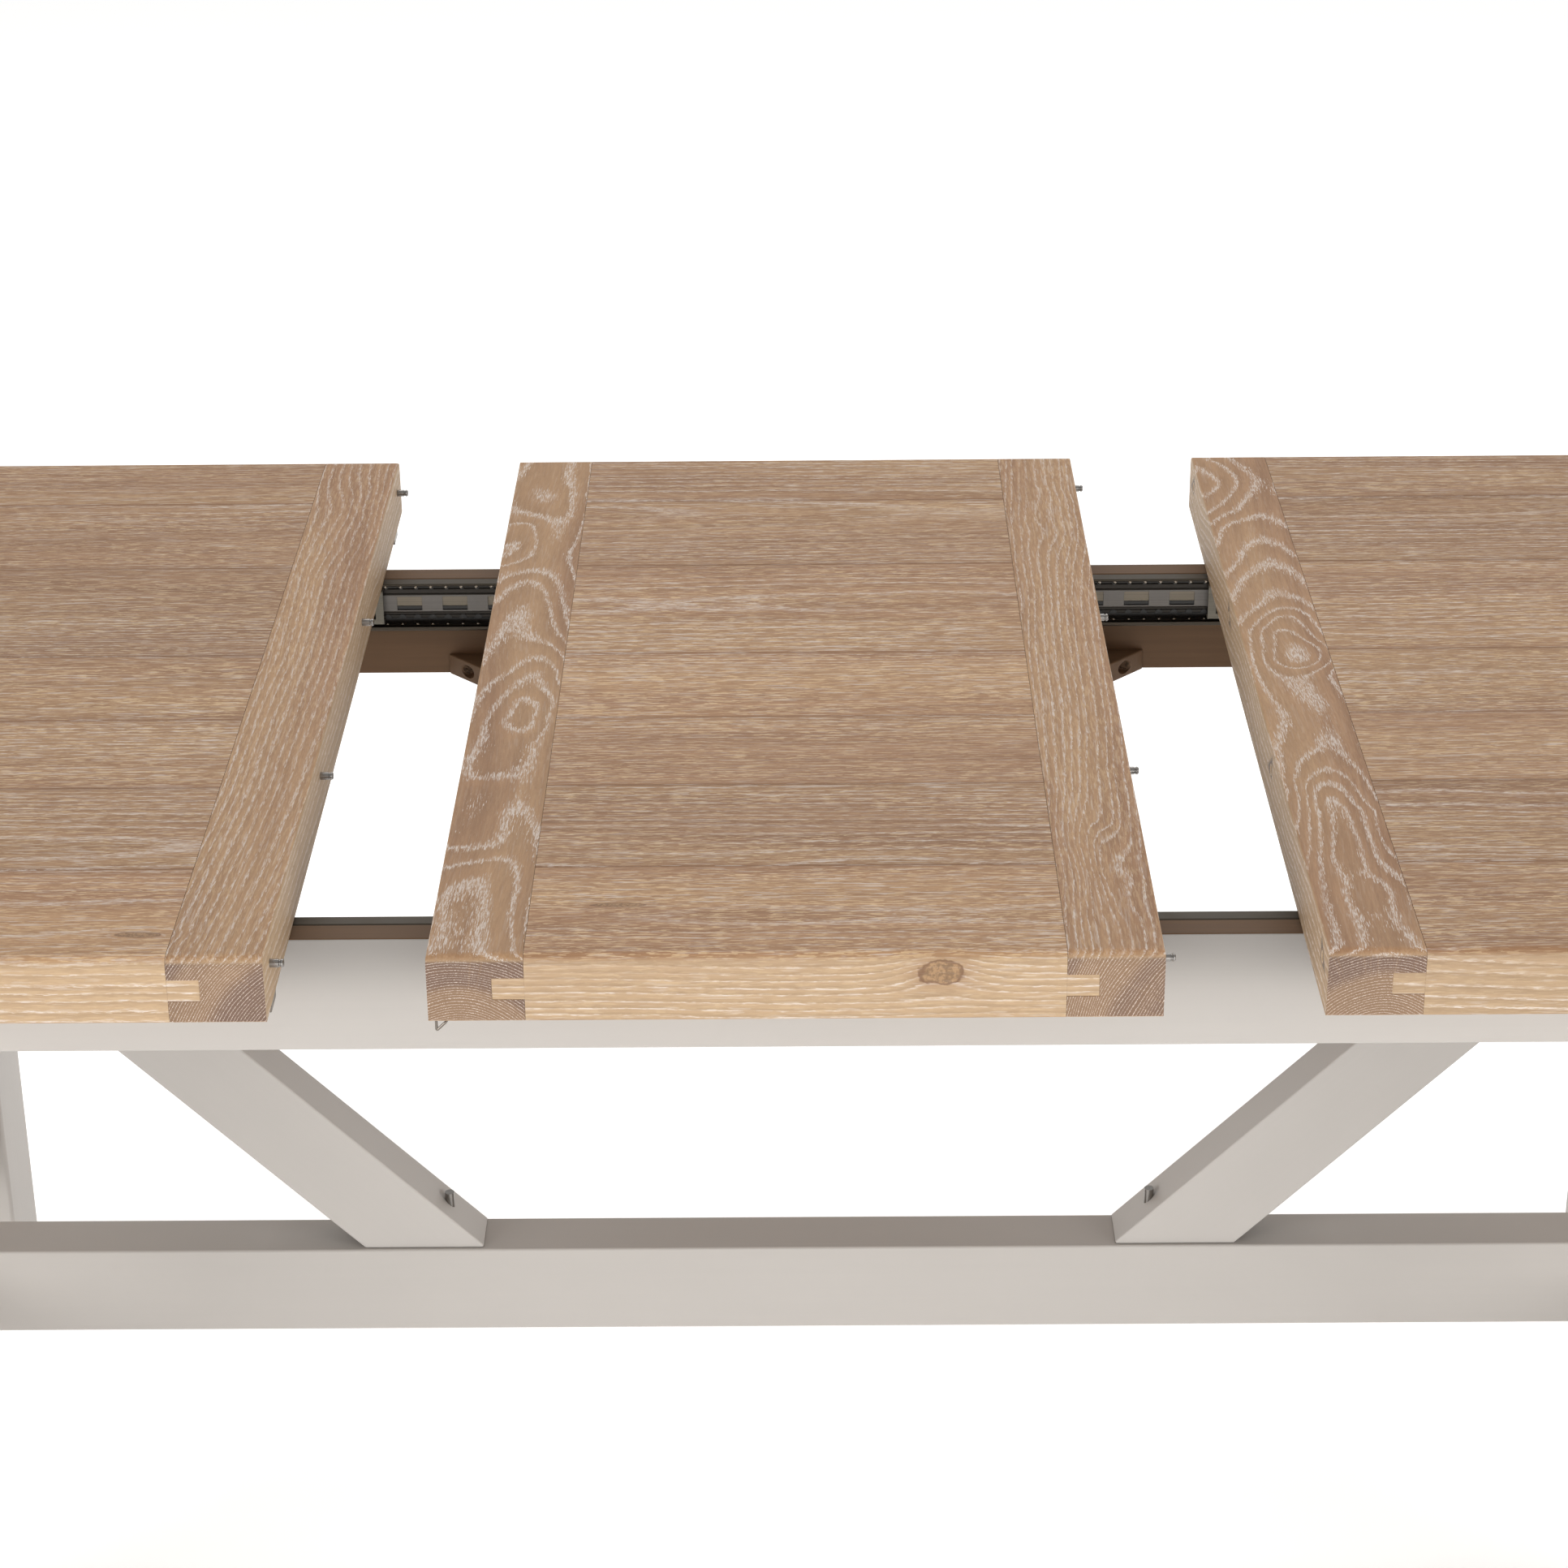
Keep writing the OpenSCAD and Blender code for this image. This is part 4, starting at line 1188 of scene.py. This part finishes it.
def top():
    """The leaf and the two halves: boards first, then the breadboards at their ends."""
    leaf_out = -span("leaf_left_breadboard")[0].x
    half_in, half_out = span("right_inner_breadboard")[0].x, span("right_outer_breadboard")[1].x
    wide = BREADBOARD_W
    field("leaf_boards", "leaf", -leaf_out + wide, leaf_out - wide)
    field("left_boards", "left_half", -half_out + wide, -half_in - wide)
    field("right_boards", "right_half", half_in + wide, half_out - wide)
    mid = (TABLE_TOP + UNDER) / 2

    def wave(high, long, at=0.0):
        return lambda p: high * MM * math.sin((p.y - at) / long * 2 * math.pi)

    # Name, body, outside face, way to the boards, tree, pith (from the face, below the middle),
    # look (tone, wander, straightness) and bend; the pith and the wander are in millimetres
    caps = [
        ("leaf_left", "leaf", -leaf_out, 1, 3.1, (26, 62), (0.97, 15, 0.0), wave(6, 0.7)),
        ("leaf_right", "leaf", leaf_out, -1, 5.7, (90, 60), (1.02, 6, 0.35), None),
        ("left_inner", "left_half", -half_in, -1, 1.3, (75, 80), (0.99, 7, 0.32), wave(10, 1.3, 0.2)),
        ("right_inner", "right_half", half_in, 1, 7.9, (40, 58), (1.0, 15, 0.0), wave(5, 0.6)),
        ("left_outer", "left_half", -half_out, 1, 2.2, (10, 75), (0.96, 12, 0.1), wave(6, 0.9)),
        ("right_outer", "right_half", half_out, -1, 4.4, (-20, 70), (1.03, 12, 0.1), wave(6, 0.8)),
    ]
    made = {}
    for cap, body, face, groove, seed, (beside, below), (tone, wander, straight), bend in caps:
        x0, x1 = sorted((face, face + groove * wide))
        pith, look = (face + beside * MM, mid - below * MM), (tone, wander * MM, straight)
        outer = "outer" in cap
        made[cap] = capped(cap + "_breadboard", body, x0, x1, groove, seed, pith, look, outer, bend)
    cut(made["leaf_left"], bush_holes(-leaf_out))
    cut(made["right_inner"], bush_holes(half_in))


def build():
    top()
    legs()
    aprons()
    stretchers()
    braces()
    brown_rails()
    corner_blocks()
    glides()
    outer_rails()
    inner_rails()
    cages()
    runners()
    pins()
    pads()
    for place in ("leaf_front", "leaf_rear", "right_front", "right_rear"):
        bail(place + "_bail")
    latch_plates("leaf_latch_plates", "leaf")
    latch_plates("right_latch_plates", "right_half")
    strikes("left_strikes", "left_half")
    strikes("leaf_strikes", "leaf")
    cad_finish(ZINC, "block_screws", "stretcher_bolts", "brace_bolts", "outer_rail_screws", "left_screws",
               "right_screws")


# ---------- studio ----------

def softbox(name, place, aim, wide, tall, power):
    """A rectangular light at place, in watts."""
    light = bpy.data.lights.new(name, "AREA")
    light.shape, light.size, light.size_y, light.energy = "RECTANGLE", wide, tall, power
    made = add(name, light)
    made.location = place
    made.rotation_euler = (Vector(aim) - Vector(place)).to_track_quat("-Z", "Y").to_euler()


def studio():
    """A pale floor, a white room that dims overhead, and four softboxes."""
    g = Graph("studio_floor")
    haze = g.noise(g.position(), 1.3, detail=2.0)
    pale = g.tint((0.93, 0.93, 0.925), g.spread(haze, 0.985, 1.0))
    g.finish(Base_Color=pale, Roughness=0.9, Specular_IOR_Level=0.1, Emission_Color=(1, 1, 1),
             Emission_Strength=0.36)
    size = 40
    mesh = bpy.data.meshes.new("studio_floor")
    z = cad_low.z - 0.2 * MM
    corners = [(-size, -size, z), (size, -size, z), (size, size, z), (-size, size, z)]
    mesh.from_pydata(corners, [], [(0, 1, 2, 3)])
    mesh.materials.append(g.material)
    add("studio_floor", mesh)

    world = bpy.data.worlds.new("studio")
    world.use_nodes = True
    tree = world.node_tree
    sky = tree.nodes["Background"]
    sky.inputs["Color"].default_value = (1.0, 0.995, 0.985, 1)
    way = tree.nodes.new("ShaderNodeTexCoord")
    height = tree.nodes.new("ShaderNodeSeparateXYZ")
    dimmer = tree.nodes.new("ShaderNodeMapRange")
    # The room is bright at the horizon and dims up to the second of these heights
    horizon, ceiling, bright, dim = 0, 0.6, 0.86, 0.60
    for n, value in enumerate((horizon, ceiling, bright, dim), 1):
        dimmer.inputs[n].default_value = value
    tree.links.new(way.outputs["Generated"], height.inputs[0])
    tree.links.new(height.outputs[2], dimmer.inputs[0])
    tree.links.new(dimmer.outputs[0], sky.inputs["Strength"])
    bpy.context.scene.world = world

    aim = (0, -0.2, 0.7)
    softbox("front_softbox", (0.0, -4.6, 1.3), aim, 3.0, 1.4, 30)
    for side, way in SIDES:
        softbox(side + "_softbox", (4.2 * way, -2.9, 1.75), aim, 2.8, 1.6, 112)
    softbox("overhead_softbox", (0.0, 2.4, 3.6), (0, 0, 0.75), 4.5, 1.6, 50)


def camera():
    """The photo's viewpoint, found from the corners of the top, the leaf and the stretcher."""
    lens, sensor = 83.61, 36.0
    stand = (0.0075, -2.6376, 1.9479)
    yaw, pitch, roll = (math.radians(a) for a in (-0.371, 25.682, -0.537))
    ahead = Vector((math.sin(yaw) * math.cos(pitch), math.cos(yaw) * math.cos(pitch), -math.sin(pitch)))
    side = Vector((math.cos(yaw), -math.sin(yaw), 0))
    rise = side.cross(ahead)
    x_axis = side * math.cos(roll) + rise * math.sin(roll)
    y_axis = rise * math.cos(roll) - side * math.sin(roll)
    data = bpy.data.cameras.new("camera")
    data.lens, data.sensor_width = lens, sensor
    data.clip_start, data.clip_end = 0.05, 200
    made = add("camera", data)
    turn = Matrix((x_axis, y_axis, -ahead)).transposed().to_4x4()
    made.matrix_world = Matrix.Translation(stand) @ turn
    bpy.context.scene.camera = made
    bpy.context.scene.view_settings.view_transform = "Standard"


build()
studio()
camera()
